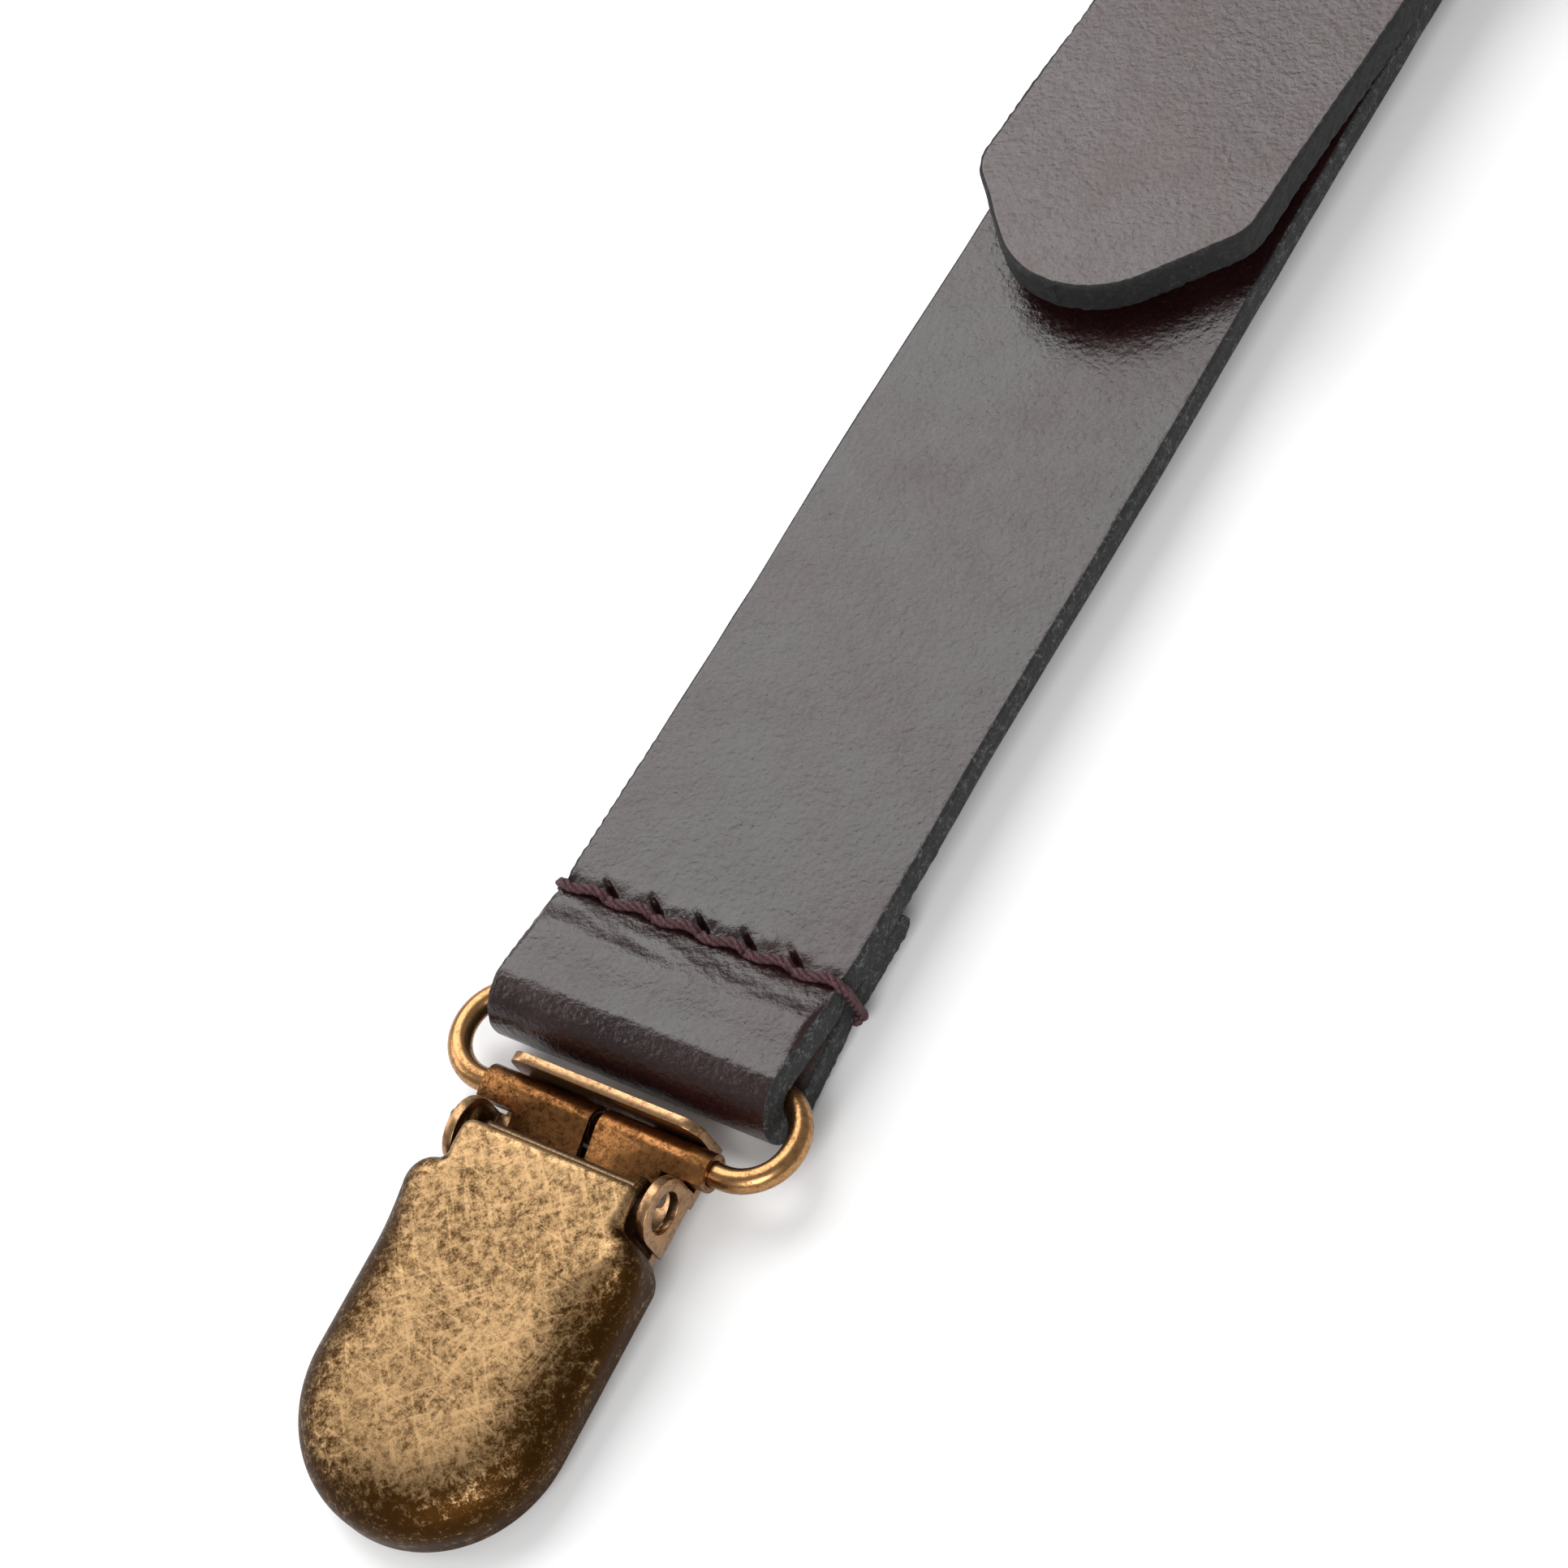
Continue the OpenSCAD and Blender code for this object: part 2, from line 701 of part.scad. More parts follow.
module patch_leaf(low) {
    foot = -shoulder_t - patch_t;
    color([0.24, 0.13, 0.12])
    difference() {
        translate([0, patch_y, strap_top + low]) linear_extrude(height = patch_t) patch_plan();
        at_rivets() {
            translate([0, 0, low - 1]) cylinder(r = rivet_r + pin_gap, h = patch_t + 2);
            translate([0, 0, foot - 1]) cylinder(r = rivet_cap_r + pin_gap, h = rivet_foot_h + 1);
        }
    }
}

module patch_front() { patch_leaf(0); }

module patch_back() { patch_leaf(-shoulder_t - patch_t); }

module patch_rivets() {
    foot = -shoulder_t - patch_t + pin_gap;
    color([0.62, 0.5, 0.33])
    at_rivets() {
        translate([0, 0, foot]) cylinder(r = rivet_cap_r, h = rivet_foot_h - pin_gap);
        translate([0, 0, foot + rivet_foot_h / 2])
            cylinder(r = rivet_r, h = patch_t + rivet_cap_h / 2 - foot - rivet_foot_h / 2);
        translate([0, 0, patch_t]) cylinder(r = rivet_cap_r, h = rivet_cap_h);
    }
}

// ---- one module for each piece ----

module left_lower_strap() { on_left() lower_strap(); }
module right_lower_strap() { on_right() lower_strap(); }
module left_shoulder_strap() { on_left() shoulder_strap(); }
module right_shoulder_strap() { on_right() shoulder_strap(); }
module back_strap() { on_back() back_strap_body(); }
module left_clip_stitching() { on_left() stitch_row(0); }
module right_clip_stitching() { on_right() stitch_row(0); }
module back_clip_stitching() { on_back() stitch_row(0); }
module left_buckle_stitching() { on_left() stitch_row(heel_stitch); }
module right_buckle_stitching() { on_right() stitch_row(heel_stitch); }
module left_keeper() { on_left() keeper(); }
module right_keeper() { on_right() keeper(); }
module left_buckle_frame() { on_left() buckle_frame_body(); }
module right_buckle_frame() { on_right() buckle_frame_body(); }
module left_prong() { on_left() prong(); }
module right_prong() { on_right() prong(); }
module left_ring() { on_left() ring(); }
module right_ring() { on_right() ring(); }
module back_ring() { on_back() ring(); }
module left_ring_sleeve() { on_left() ring_sleeve(); }
module right_ring_sleeve() { on_right() ring_sleeve(); }
module back_ring_sleeve() { on_back() ring_sleeve(); }
module left_sleeve_rivets() { on_left() sleeve_rivets(); }
module right_sleeve_rivets() { on_right() sleeve_rivets(); }
module back_sleeve_rivets() { on_back() sleeve_rivets(); }
module left_back_plate() { on_left() back_plate(); }
module right_back_plate() { on_right() back_plate(); }
module back_back_plate() { on_back() back_plate(); }
module left_jaw_pad() { on_left() jaw_pad(); }
module right_jaw_pad() { on_right() jaw_pad(); }
module back_jaw_pad() { on_back() jaw_pad(); }
module left_cover() { on_left() cover(); }
module right_cover() { on_right() cover(); }
module back_cover() { on_back() cover(); }
module left_pivot_pin() { on_left() pivot_pin(); }
module right_pivot_pin() { on_right() pivot_pin(); }
module back_pivot_pin() { on_back() pivot_pin(); }

left_lower_strap();
right_lower_strap();
left_shoulder_strap();
right_shoulder_strap();
back_strap();
patch_front();
patch_back();
patch_rivets();
left_clip_stitching();
right_clip_stitching();
back_clip_stitching();
left_buckle_stitching();
right_buckle_stitching();
left_keeper();
right_keeper();
left_buckle_frame();
right_buckle_frame();
left_prong();
right_prong();
left_ring();
right_ring();
back_ring();
left_ring_sleeve();
right_ring_sleeve();
back_ring_sleeve();
left_sleeve_rivets();
right_sleeve_rivets();
back_sleeve_rivets();
left_back_plate();
right_back_plate();
back_back_plate();
left_jaw_pad();
right_jaw_pad();
back_jaw_pad();
left_cover();
right_cover();
back_cover();
left_pivot_pin();
right_pivot_pin();
back_pivot_pin();
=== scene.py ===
import json
import math

import bmesh
import bpy
import numpy as np
from mathutils import Matrix, Vector


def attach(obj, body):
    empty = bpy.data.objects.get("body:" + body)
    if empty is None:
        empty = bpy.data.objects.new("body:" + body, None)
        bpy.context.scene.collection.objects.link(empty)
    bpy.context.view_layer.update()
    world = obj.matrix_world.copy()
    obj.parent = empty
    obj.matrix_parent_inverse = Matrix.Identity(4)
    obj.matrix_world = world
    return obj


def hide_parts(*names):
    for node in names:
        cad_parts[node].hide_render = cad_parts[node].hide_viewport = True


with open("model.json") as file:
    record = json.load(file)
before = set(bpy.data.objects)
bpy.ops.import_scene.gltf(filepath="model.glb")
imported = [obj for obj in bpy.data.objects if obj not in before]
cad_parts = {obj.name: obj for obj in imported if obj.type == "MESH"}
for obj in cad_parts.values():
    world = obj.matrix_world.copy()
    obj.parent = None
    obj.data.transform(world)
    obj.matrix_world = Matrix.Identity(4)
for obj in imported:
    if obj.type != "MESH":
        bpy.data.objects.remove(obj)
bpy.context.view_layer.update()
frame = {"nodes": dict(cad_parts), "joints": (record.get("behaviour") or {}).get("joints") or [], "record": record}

# ---- The three strap ends ----
# The suspenders lie on a table, face side up. Each strap is measured in millimetres from the middle
# of the sewn row beside its leather loop: X across the strap, Y up it and Z out of the table. The
# right front strap is the mirror image of the left one.
MM = 0.001
FRONTS = ("left", "right")
ENDS = ("left", "right", "back")
HAND = {"left": 1, "right": -1, "back": 1}
leather_t = 2.5
loop_reach = 8.2
hinges = {j["name"]: j for j in frame["joints"]}


def strap_place(side):
    """Origin and X, Y, Z of a strap: X lies along the ring's hinge, Y is Z cross X, and the origin is
    the hinge carried up by one loop reach and one leather thickness."""
    hinge = hinges[side + "_ring_swing"]
    across = -np.array(hinge["axis"])
    up = np.array([0.0, 0.0, 1.0])
    along = np.cross(up, across)
    origin = np.array(hinge["pos_m"]) + (loop_reach * along + leather_t * up) * MM
    return origin, np.array([HAND[side] * across, along, up])


strap_at = {side: strap_place(side) for side in ENDS}


def put(points, place):
    """Points in a strap's or a clip's own millimetres, carried to the shared frame in metres."""
    origin, axes = place
    return origin + (np.asarray(points, float) * MM) @ axes


# ---- Table, lights and camera ----
# A plain white table under one big soft light behind the strap, which the polished leather mirrors,
# and two smaller ones. The camera looks down on the left clip from the tip of that strap.
def add(name, data):
    """Puts a mesh, a lamp or a camera into the scene as an object at the origin."""
    thing = bpy.data.objects.new(name, data)
    bpy.context.scene.collection.objects.link(thing)
    return thing


def stage_table():
    """A flat square sheet, far larger than the suspenders."""
    half = 4.0
    corners = [(-half, -half, 0), (half, -half, 0), (half, half, 0), (-half, half, 0)]
    mesh = bpy.data.meshes.new("table")
    mesh.from_pydata(corners, [], [(0, 1, 2, 3)])
    paint = bpy.data.materials.new("table white")
    paint.use_nodes = True
    shader = paint.node_tree.nodes["Principled BSDF"]
    shader.inputs["Base Color"].default_value = (0.92, 0.92, 0.92, 1)
    shader.inputs["Roughness"].default_value = 0.9
    shader.inputs["Specular IOR Level"].default_value = 0.1
    mesh.materials.append(paint)
    add("table", mesh)


def aim(thing, spot, target, top):
    """Places a light or the camera at spot, facing target, with top as its upward side."""
    back = (Vector(spot) - Vector(target)).normalized()
    side = Vector(top).cross(back).normalized()
    turn = Matrix((side, back.cross(side), back)).transposed()
    thing.matrix_world = Matrix.Translation(spot) @ turn.to_4x4()


def soft_box(name, spot, target, size, watts):
    """A rectangular lamp facing target, with spot, target and size in the left strap's millimetres."""
    lamp = bpy.data.lights.new(name, "AREA")
    lamp.shape = "RECTANGLE"
    lamp.size, lamp.size_y = size[0] * MM, size[1] * MM
    lamp.energy = watts
    aim(add(name, lamp), put(spot, strap_at["left"]), put(target, strap_at["left"]), (0, 1, 0))


stage_table()
soft_box("back light", (-560, 440, 800), (0, 20, 0), (1000, 820), 9.6)
soft_box("front light", (500, -900, 900), (0, 0, 0), (700, 700), 13)
soft_box("left light", (-900, -300, 500), (0, 0, 0), (600, 600), 3)

world = bpy.data.worlds.new("studio")
bpy.context.scene.world = world
world.use_nodes = True
sky = world.node_tree.nodes["Background"].inputs
sky["Color"].default_value = (1, 1, 1, 1)
sky["Strength"].default_value = 0.36

camera_data = bpy.data.cameras.new("camera")
camera_data.sensor_width = 36
camera_data.lens = 93.17
camera_data.clip_start = 0.01
camera_data.clip_end = 20
camera = add("camera", camera_data)
bpy.context.scene.camera = camera
eye = np.array([142.76, -96.98, 244.83])
look = np.array([-0.4704, 0.3636, -0.8040])
head_up = np.array([-0.2941, 0.7944, 0.5314])
look_far = 300
target = put(eye + look_far * look, strap_at["left"])
aim(camera, put(eye, strap_at["left"]), target, head_up @ strap_at["left"][1])
bpy.context.scene.view_settings.view_transform = "Standard"


# ---- Lower straps and back strap ----
# One band of oxblood bridle leather, polished on its grain side, with raw charcoal edges. Its end
# is folded round the ring and sewn to itself; a front strap's other end is folded round its buckle.
strap_half = 12.5
clip_cavity = 1.25
heel_cavity = 1.6
heel_y = 205.0
heel_stitch = 196.0
fold_len = 8.6
back_len = 240.0
upper_z, under_z = -leather_t / 2, -1.5 * leather_t
stitch_count = 6
stitch_step = 2 * strap_half / stitch_count
hole_xs = np.array([stitch_step * i - strap_half for i in range(1, stitch_count)])


def ripple(u, v, seed, waves=14):
    """Soft bumps between about -1 and 1: a sum of sine waves with seeded directions and phases."""
    rng = np.random.default_rng(seed)
    turns = rng.uniform(0, 2 * np.pi, waves)
    paces = rng.uniform(0.6, 1.9, waves)
    phases = rng.uniform(0, 7, waves)
    total = sum(
        np.sin(pace * (u * np.cos(turn) + v * np.sin(turn)) + phase)
        for turn, pace, phase in zip(turns, paces, phases)
    )
    return total / math.sqrt(waves) / 1.4


def bell(v, width):
    """A bell curve, 1 at its middle: e to the power of minus (v / width) squared."""
    return np.exp(-((v / width) ** 2))


def arc(centre, radius, start, end, count):
    """Points on a circle from one angle to another, in degrees."""
    a = np.radians(np.linspace(start, end, count))
    return np.stack([centre[0] + radius * np.cos(a), centre[1] + radius * np.sin(a)], 1)


def line(start, end, count):
    """Evenly spaced points on a line, without its last point."""
    return np.linspace(start, end, count, endpoint=False)


def loop_angle(reach, outer):
    """How steeply the leather rises from its sewn row to lie on a loop of that outer radius."""
    rise = math.asin(outer / math.hypot(reach, leather_t)) - math.atan2(leather_t, reach)
    return math.degrees(rise)


def folded_path(length, heel):
    """Middle line of a folded strap, as (y, z): under the sewn row, round the ring, back over the row
    and up the strap, then round the heel bar and under again where the strap has a heel."""
    sunk, beside, flat_from, heel_near = 0.07, 0.4, 14, 5
    mid = clip_cavity + leather_t / 2
    rise = loop_angle(loop_reach, mid + leather_t / 2)
    bow = arc((-loop_reach, -leather_t), mid, rise - 90, rise - 270, 110)
    row = (-beside, upper_z + sunk)
    pieces = [
        line((fold_len, under_z), (0, under_z), 40),
        line((0, under_z), bow[0], 30),
        bow[:-1],
        line(bow[-1], row, 64),
        line(row, (flat_from, upper_z), 90),
    ]
    if not heel:
        rest = line((flat_from, upper_z), (length, upper_z), 60)
        return np.concatenate(pieces + [rest, [(length, upper_z)]])
    mid = heel_cavity + leather_t / 2
    rise = loop_angle(heel_y - heel_stitch, mid + leather_t / 2)
    heel_row = (heel_stitch - heel_near, upper_z)
    pieces += [
        line((flat_from, upper_z), heel_row, 60),
        line(heel_row, (heel_stitch + beside, upper_z), 24),
        arc((heel_y, -leather_t), mid, 90 + rise, -90 - rise, 60),
        line((heel_stitch, under_z), (heel_stitch - fold_len, under_z), 24),
        [(heel_stitch - fold_len, under_z)],
    ]
    return np.concatenate(pieces)


def band_section(half, thick, across_count, arris=0.3):
    """Outline of a strap cut across, as (x, height, side): grain side, right edge, flesh side and left
    edge. side is 0 on the grain, 1 on a cut edge and 2 on the flesh."""
    h = thick / 2
    flat = half - arris
    turn = np.linspace(0, np.pi / 2, 5)
    wall = np.linspace(h - arris, -h + arris, 9)[1:-1]
    top = np.stack([np.linspace(-flat, flat, across_count), np.full(across_count, h)], 1)
    corner = np.stack([flat + arris * np.sin(turn), h - arris + arris * np.cos(turn)], 1)[1:]
    side = np.stack([np.full(len(wall), half), wall], 1)
    right = np.concatenate([corner, side, (corner * [1, -1])[::-1]])
    low_count = max(7, across_count // 5)
    low = np.stack([np.linspace(flat, -flat, low_count), np.full(low_count, -h)], 1)
    left = (right * [-1, 1])[::-1]
    kinds = [np.zeros(len(top)), np.ones(len(right)), np.full(len(low), 2.0), np.ones(len(left))]
    return np.concatenate([top, right, low, left]), np.concatenate(kinds)


def along(path):
    """Distance along a path at each of its points, and its outward direction there, which is the
    path's own direction turned a quarter to the left."""
    step = np.linalg.norm(np.diff(path, axis=0), axis=1)
    far = np.concatenate([[0], np.cumsum(step)])
    way = np.gradient(path, far, axis=0)
    way = np.array([np.convolve(np.pad(w, 2, "edge"), np.ones(5) / 5, "valid") for w in way.T]).T
    way /= np.linalg.norm(way, axis=1, keepdims=True)
    return far, np.stack([-way[:, 1], way[:, 0]], 1)


def sewn_dents(x, from_row):
    """How deep the thread pulls the grain in: a shallow trench along the row, a pit and a slanted awl
    cut at each hole, and on the loop's side fine wrinkles over a low swell where the leather bends.
    Each is a depth in millimetres times bell curves, less than 0 where the leather stands proud."""
    trench = 0.3 * bell(from_row, 0.8) * (0.8 + 0.2 * np.cos(2 * np.pi * x / stitch_step))
    pits = sum(0.8 * bell(x - hole, 0.42) for hole in hole_xs) * bell(from_row, 0.4)
    past = from_row - 0.85
    slant = 0.35 + 1.1 * past
    cuts = sum(0.7 * bell(x - hole + slant, 0.26) for hole in hole_xs) * bell(past, 0.5)
    down = np.clip(-from_row, 0, None)
    fade = bell(down - 2.2, 1.9) * (from_row < 0)
    wrinkle = fade * (0.07 * ripple(x * 0.7, down * 1.8, 5) + 0.02 * ripple(x * 2.2, down * 4, 6))
    pucker = -0.12 * bell(from_row - 1.5, 0.7) * (0.5 + 0.5 * ripple(x * 1.3, from_row, 9))
    swell = -0.4 * bell(from_row + 4.4, 2.3)
    return trench + pits + cuts + wrinkle + pucker + swell


def folded_strap(length, heel):
    """Grid of points of a folded strap: its cut-across outline carried along the folded path. The
    outline thins to nothing at a folded end, is drawn in where the thread goes round the edges,
    and its raw edges wander in and out by up to a fifth of a millimetre."""
    path = folded_path(length, heel)
    far, outward = along(path)
    section, kind = band_section(strap_half, leather_t, 112)

    def row_at(y, z):
        """Distance along the path to its point nearest (y, z)."""
        return far[np.argmin(np.hypot(path[:, 0] - y, path[:, 1] - z))]

    tops, lows, ends = [far - row_at(0, upper_z)], [row_at(0, under_z) - far], [far]
    if heel:
        tops.append(row_at(heel_stitch, upper_z) - far)
        lows.append(far - row_at(heel_stitch, under_z))
        ends.append(far[-1] - far)
    x, height = section[:, 0][None, :], section[:, 1][None, :]
    grain, edge = (kind == 0)[None, :], (kind == 1)[None, :]
    taper = 1.5
    thin = np.ones(len(far))
    for left in ends:
        thin = thin * np.sqrt(np.clip(1 - np.clip(1 - left / taper, 0, 1) ** 2, 0, 1))
    waist = sum(0.22 * bell(row, 1.1) for row in tops + lows)[:, None]
    rough = 0.05 * ripple(far[:, None] * 5, height * 6 + np.sign(x) * 9, 3) * edge
    wander = 0.12 * ripple(far[:, None] * 0.12, np.sign(x) * 4, 8) + 0 * x
    wide = x + np.sign(x) * (rough - waist + wander) * (np.abs(x) / strap_half) ** 3
    dents = sum(sewn_dents(x, row[:, None]) for row in tops) * grain
    high = height * thin[:, None] - dents * np.clip((strap_half - np.abs(x)) / 0.6, 0.25, 1)
    yz = path[:, None, :] + outward[:, None, :] * high[:, :, None]
    points = np.concatenate([wide[:, :, None], yz], 2)
    return points, np.broadcast_to(kind, points.shape[:2]), False


def weave(rows, columns, round_rows=False):
    """Corner numbers of the quads of a grid whose columns close on themselves, and whose rows do too
    if round_rows is set."""
    r = np.arange(rows if round_rows else rows - 1)[:, None]
    c = np.arange(columns)[None, :]
    down, right = (r + 1) % rows, (c + 1) % columns
    here, below = r * columns, down * columns
    corners = np.broadcast_arrays(here + c, below + c, below + right, here + right)
    return np.stack(corners, -1).reshape(-1, 4)


def make(name, grids, place):
    """A mesh object from closed grids of points. Each grid is its points, the side each point is on,
    and whether its rows close. Doubles are merged, its open ends are capped, its faces turned
    outward, and the side is kept as the attribute "side"."""
    points, quads, sides, first = [], [], [], 0
    for grid, kind, round_rows in grids:
        rows, columns = grid.shape[:2]
        points.append(put(grid.reshape(-1, 3), place))
        sides.append(np.asarray(kind, float).reshape(-1))
        quads.append(weave(rows, columns, round_rows) + first)
        first += rows * columns
    mesh = bpy.data.meshes.new(name)
    mesh.from_pydata(np.concatenate(points).tolist(), [], np.concatenate(quads).tolist())
    mesh.attributes.new("side", "FLOAT", "POINT").data.foreach_set("value", np.concatenate(sides))
    shape = bmesh.new()
    shape.from_mesh(mesh)
    bmesh.ops.remove_doubles(shape, verts=shape.verts, dist=1e-6)
    bmesh.ops.holes_fill(shape, edges=[e for e in shape.edges if e.is_boundary], sides=0)
    bmesh.ops.dissolve_degenerate(shape, edges=shape.edges, dist=1e-7)
    bmesh.ops.recalc_face_normals(shape, faces=shape.faces)
    for face in shape.faces:
        face.smooth = True
    shape.to_mesh(mesh)
    shape.free()
    return add(name, mesh)


def cut(piece, tools, place):
    """Cuts closed grids out of a piece, drops faces with no area and keeps the cut's rim sharp."""
    speck = 3e-6
    tool = make("cutter", tools, place)
    knife = piece.modifiers.new("cut", "BOOLEAN")
    knife.operation, knife.solver, knife.object = "DIFFERENCE", "EXACT", tool
    view = bpy.context.evaluated_depsgraph_get()
    mesh = bpy.data.meshes.new_from_object(piece.evaluated_get(view), depsgraph=view)
    piece.modifiers.clear()
    piece.data = mesh
    shape = bmesh.new()
    shape.from_mesh(mesh)
    bmesh.ops.remove_doubles(shape, verts=shape.verts, dist=speck)
    bmesh.ops.dissolve_degenerate(shape, edges=shape.edges, dist=speck)
    bmesh.ops.triangulate(shape, faces=shape.faces)
    bmesh.ops.dissolve_degenerate(shape, edges=shape.edges, dist=speck)
    shape.to_mesh(mesh)
    shape.free()
    mesh.set_sharp_from_angle(angle=math.radians(38))
    bpy.data.objects.remove(tool)


def slab(outline, low, high):
    """A closed prism as a grid: an outline of (x, y) carried from low to high."""
    grid = np.stack([np.column_stack([outline, np.full(len(outline), z)]) for z in (low, high)])
    return grid, np.ones(grid.shape[:2]), False


def rectangle(half, low, high):
    """Plan of a rectangle of that half width, from low to high along Y."""
    return np.array([(-half, low), (half, low), (half, high), (-half, high)])


class Blend:
    """One value in a finish: adding to it, multiplying it and so on adds a Math node."""

    def __init__(self, finish, socket):
        self.finish, self.socket = finish, socket

    def join(self, operation, a, b):
        return self.finish.node("ShaderNodeMath", {"operation": operation}, {0: a, 1: b})

    def __add__(self, other):
        return self.join("ADD", self, other)

    def __sub__(self, other):
        return self.join("SUBTRACT", self, other)

    def __rsub__(self, other):
        return self.join("SUBTRACT", other, self)

    def __mul__(self, other):
        return self.join("MULTIPLY", self, other)

    def between(self, low, high):
        """0 below low, 1 above high, and a soft step between them."""
        settings = {"interpolation_type": "SMOOTHSTEP"}
        inputs = {"Value": self, "From Min": low, "From Max": high}
        return self.finish.node("ShaderNodeMapRange", settings, inputs)

    __radd__, __rmul__ = __add__, __mul__


class Finish:
    """A material built from nodes round one Principled shader."""

    def __init__(self, name, **fixed):
        self.material = bpy.data.materials.new(name)
        self.material.use_nodes = True
        self.tree = self.material.node_tree
        self.shader = self.tree.nodes["Principled BSDF"]
        for socket, value in fixed.items():
            self.shader.inputs[socket.replace("_", " ")].default_value = value
        self.spot = self.node("ShaderNodeTexCoord", out="Object")

    def node(self, kind, settings=None, inputs=None, out=0):
        made = self.tree.nodes.new(kind)
        for name, value in (settings or {}).items():
            setattr(made, name, value)
        for name, value in (inputs or {}).items():
            self.feed(made.inputs[name], value)
        return Blend(self, made.outputs[out])

    def feed(self, socket, value):
        if isinstance(value, Blend):
            self.tree.links.new(value.socket, socket)
        else:
            socket.default_value = value

    def set(self, **values):
        for name, value in values.items():
            self.feed(self.shader.inputs[name.replace("_", " ")], value)
        return self

    def noise(self, scale, detail=2.0, roughness=0.5, spot=None, warp=0.0):
        inputs = {"Vector": spot or self.spot, "Scale": scale, "Detail": detail}
        inputs.update({"Roughness": roughness, "Distortion": warp})
        return self.node("ShaderNodeTexNoise", {}, inputs)

    def side(self):
        """The side that each point of a mesh was given when it was made."""
        return self.node("ShaderNodeAttribute", {"attribute_name": "side"}, out="Fac")

    def mix(self, share, a, b):
        """Two colours mixed: share 0 gives a, 1 gives b."""
        return self.node("ShaderNodeMix", {"data_type": "RGBA"}, {0: share, 6: a, 7: b}, out=2)

    def bump(self, height, distance, strength, under=None):
        inputs = {"Height": height, "Distance": distance, "Strength": strength}
        if under is not None:
            inputs["Normal"] = under
        return self.node("ShaderNodeBump", {}, inputs)


def rgb(r, g, b):
    """A colour given as screen values from 0 to 255, made linear."""
    shares = [c / 255 for c in (r, g, b)]
    return tuple(((c + 0.055) / 1.055) ** 2.4 if c > 0.04 else c / 12.92 for c in shares) + (1,)


pale_felt, red_bloom = rgb(92, 92, 92), rgb(38, 15, 15)


def bridle_leather(name, dye, raw, gloss=0.27, felt=pale_felt, bloom=red_bloom):
    """Waxed, polished grain over a dark dye that blooms in soft clouds, with fine speckle and pores; on
    the cut edge a raw felt of charcoal with pale fibres; on the flesh side a dull nap."""
    f = Finish(name, Specular_IOR_Level=0.55, IOR=1.5)
    side = f.side()
    is_flesh = side.between(1.3, 1.7)
    is_edge = side.between(0.35, 0.65) * (1 - is_flesh)
    speckle = f.noise(2600, 3, 0.65)
    cloud = f.noise(90, 3, 0.55)
    pores = f.node("ShaderNodeTexVoronoi", {"feature": "F1"}, {"Vector": f.spot, "Scale": 1900.0})
    grain_colour = f.mix(cloud.between(0.35, 0.7), dye, bloom)
    grain_colour = f.mix(speckle.between(0.55, 0.75) * 0.5, grain_colour, rgb(58, 26, 24))
    fibre = f.noise(3400, 4, 0.75, warp=0.6)
    clump = f.noise(900, 3, 0.6)
    fibre_mask = (fibre * 0.65 + clump * 0.35).between(0.5, 0.66)
    edge_colour = f.mix(fibre_mask, raw, felt)
    nap = f.mix(clump.between(0.3, 0.7), rgb(46, 36, 34), rgb(70, 56, 50))
    colour = f.mix(is_flesh, f.mix(is_edge, grain_colour, edge_colour), nap)
    smear = f.noise(300, 3, 0.6)
    polish = gloss + (speckle - 0.5) * 0.3 + (cloud - 0.5) * 0.25 + (smear - 0.5) * 0.2
    rough = polish * (1 - is_edge) * (1 - is_flesh) + (is_edge + is_flesh) * 0.85
    pebbles, dimples = f.noise(1100, 2), f.noise(220, 2)
    grain_height = speckle * 0.7 + pores * 0.25 + pebbles * 0.9 + dimples * 0.6
    soft = f.bump(grain_height * (1 - is_edge), 0.0001, 0.8)
    fuzz = f.bump((fibre + clump) * (is_edge + is_flesh), 0.00018, 0.9, soft)
    return f.set(Base_Color=colour, Roughness=rough, Normal=fuzz).material


strap_leather = bridle_leather("strap leather", rgb(27, 11, 11), rgb(20, 20, 21))


def sew_in(piece, material, body, slot, *nodes):
    """Gives a piece its material and body, and lets it stand for its CAD nodes. slot is not used."""
    piece.data.materials.clear()
    piece.data.materials.append(material)
    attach(piece, body)
    if nodes:
        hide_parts(*nodes)


prong_slot = slab(rectangle(2.2, 200.7, 215.0), -9, 6)
for side in FRONTS:
    strap = make(f"{side}_lower_leather", [folded_strap(None, heel=True)], strap_at[side])
    cut(strap, [prong_slot], strap_at[side])
    sew_in(strap, strap_leather, "leather", "leather", f"{side}_lower_strap")
strap = make("back_leather", [folded_strap(back_len, heel=False)], strap_at["back"])
sew_in(strap, strap_leather, "leather", "leather", "back_strap")


# ---- Shoulder straps ----
# A thicker strap of the same leather comes down from the patch, dives under the buckle's front bar,
# climbs over its heel and lies on the lower strap. It ends in a cut point with a rounded nose, and
# its punched holes take the buckle's prong.
shoulder_t = 3.0
shoulder_len = 700.0
tab_gap, nose_r, corner_drop = 60.0, 9.0, 9.5
tab_shift = 0.9
tab_low, over_heel, under_bar = 1.8, 3.4, -1.5
punch_r = 2.2
punch_ys = [114.0, 139.0, 164.0, 189.0, 238.8, 263.8]
prong_hole_y, prong_hole_half, prong_hole_r = 213.8, 5.2, 1.5


def ease(start, end, v):
    """0 before start, 1 after end, and 3s^2 - 2s^3 between them."""
    s = np.clip((v - start) / (end - start), 0, 1)
    return s * s * (3 - 2 * s)


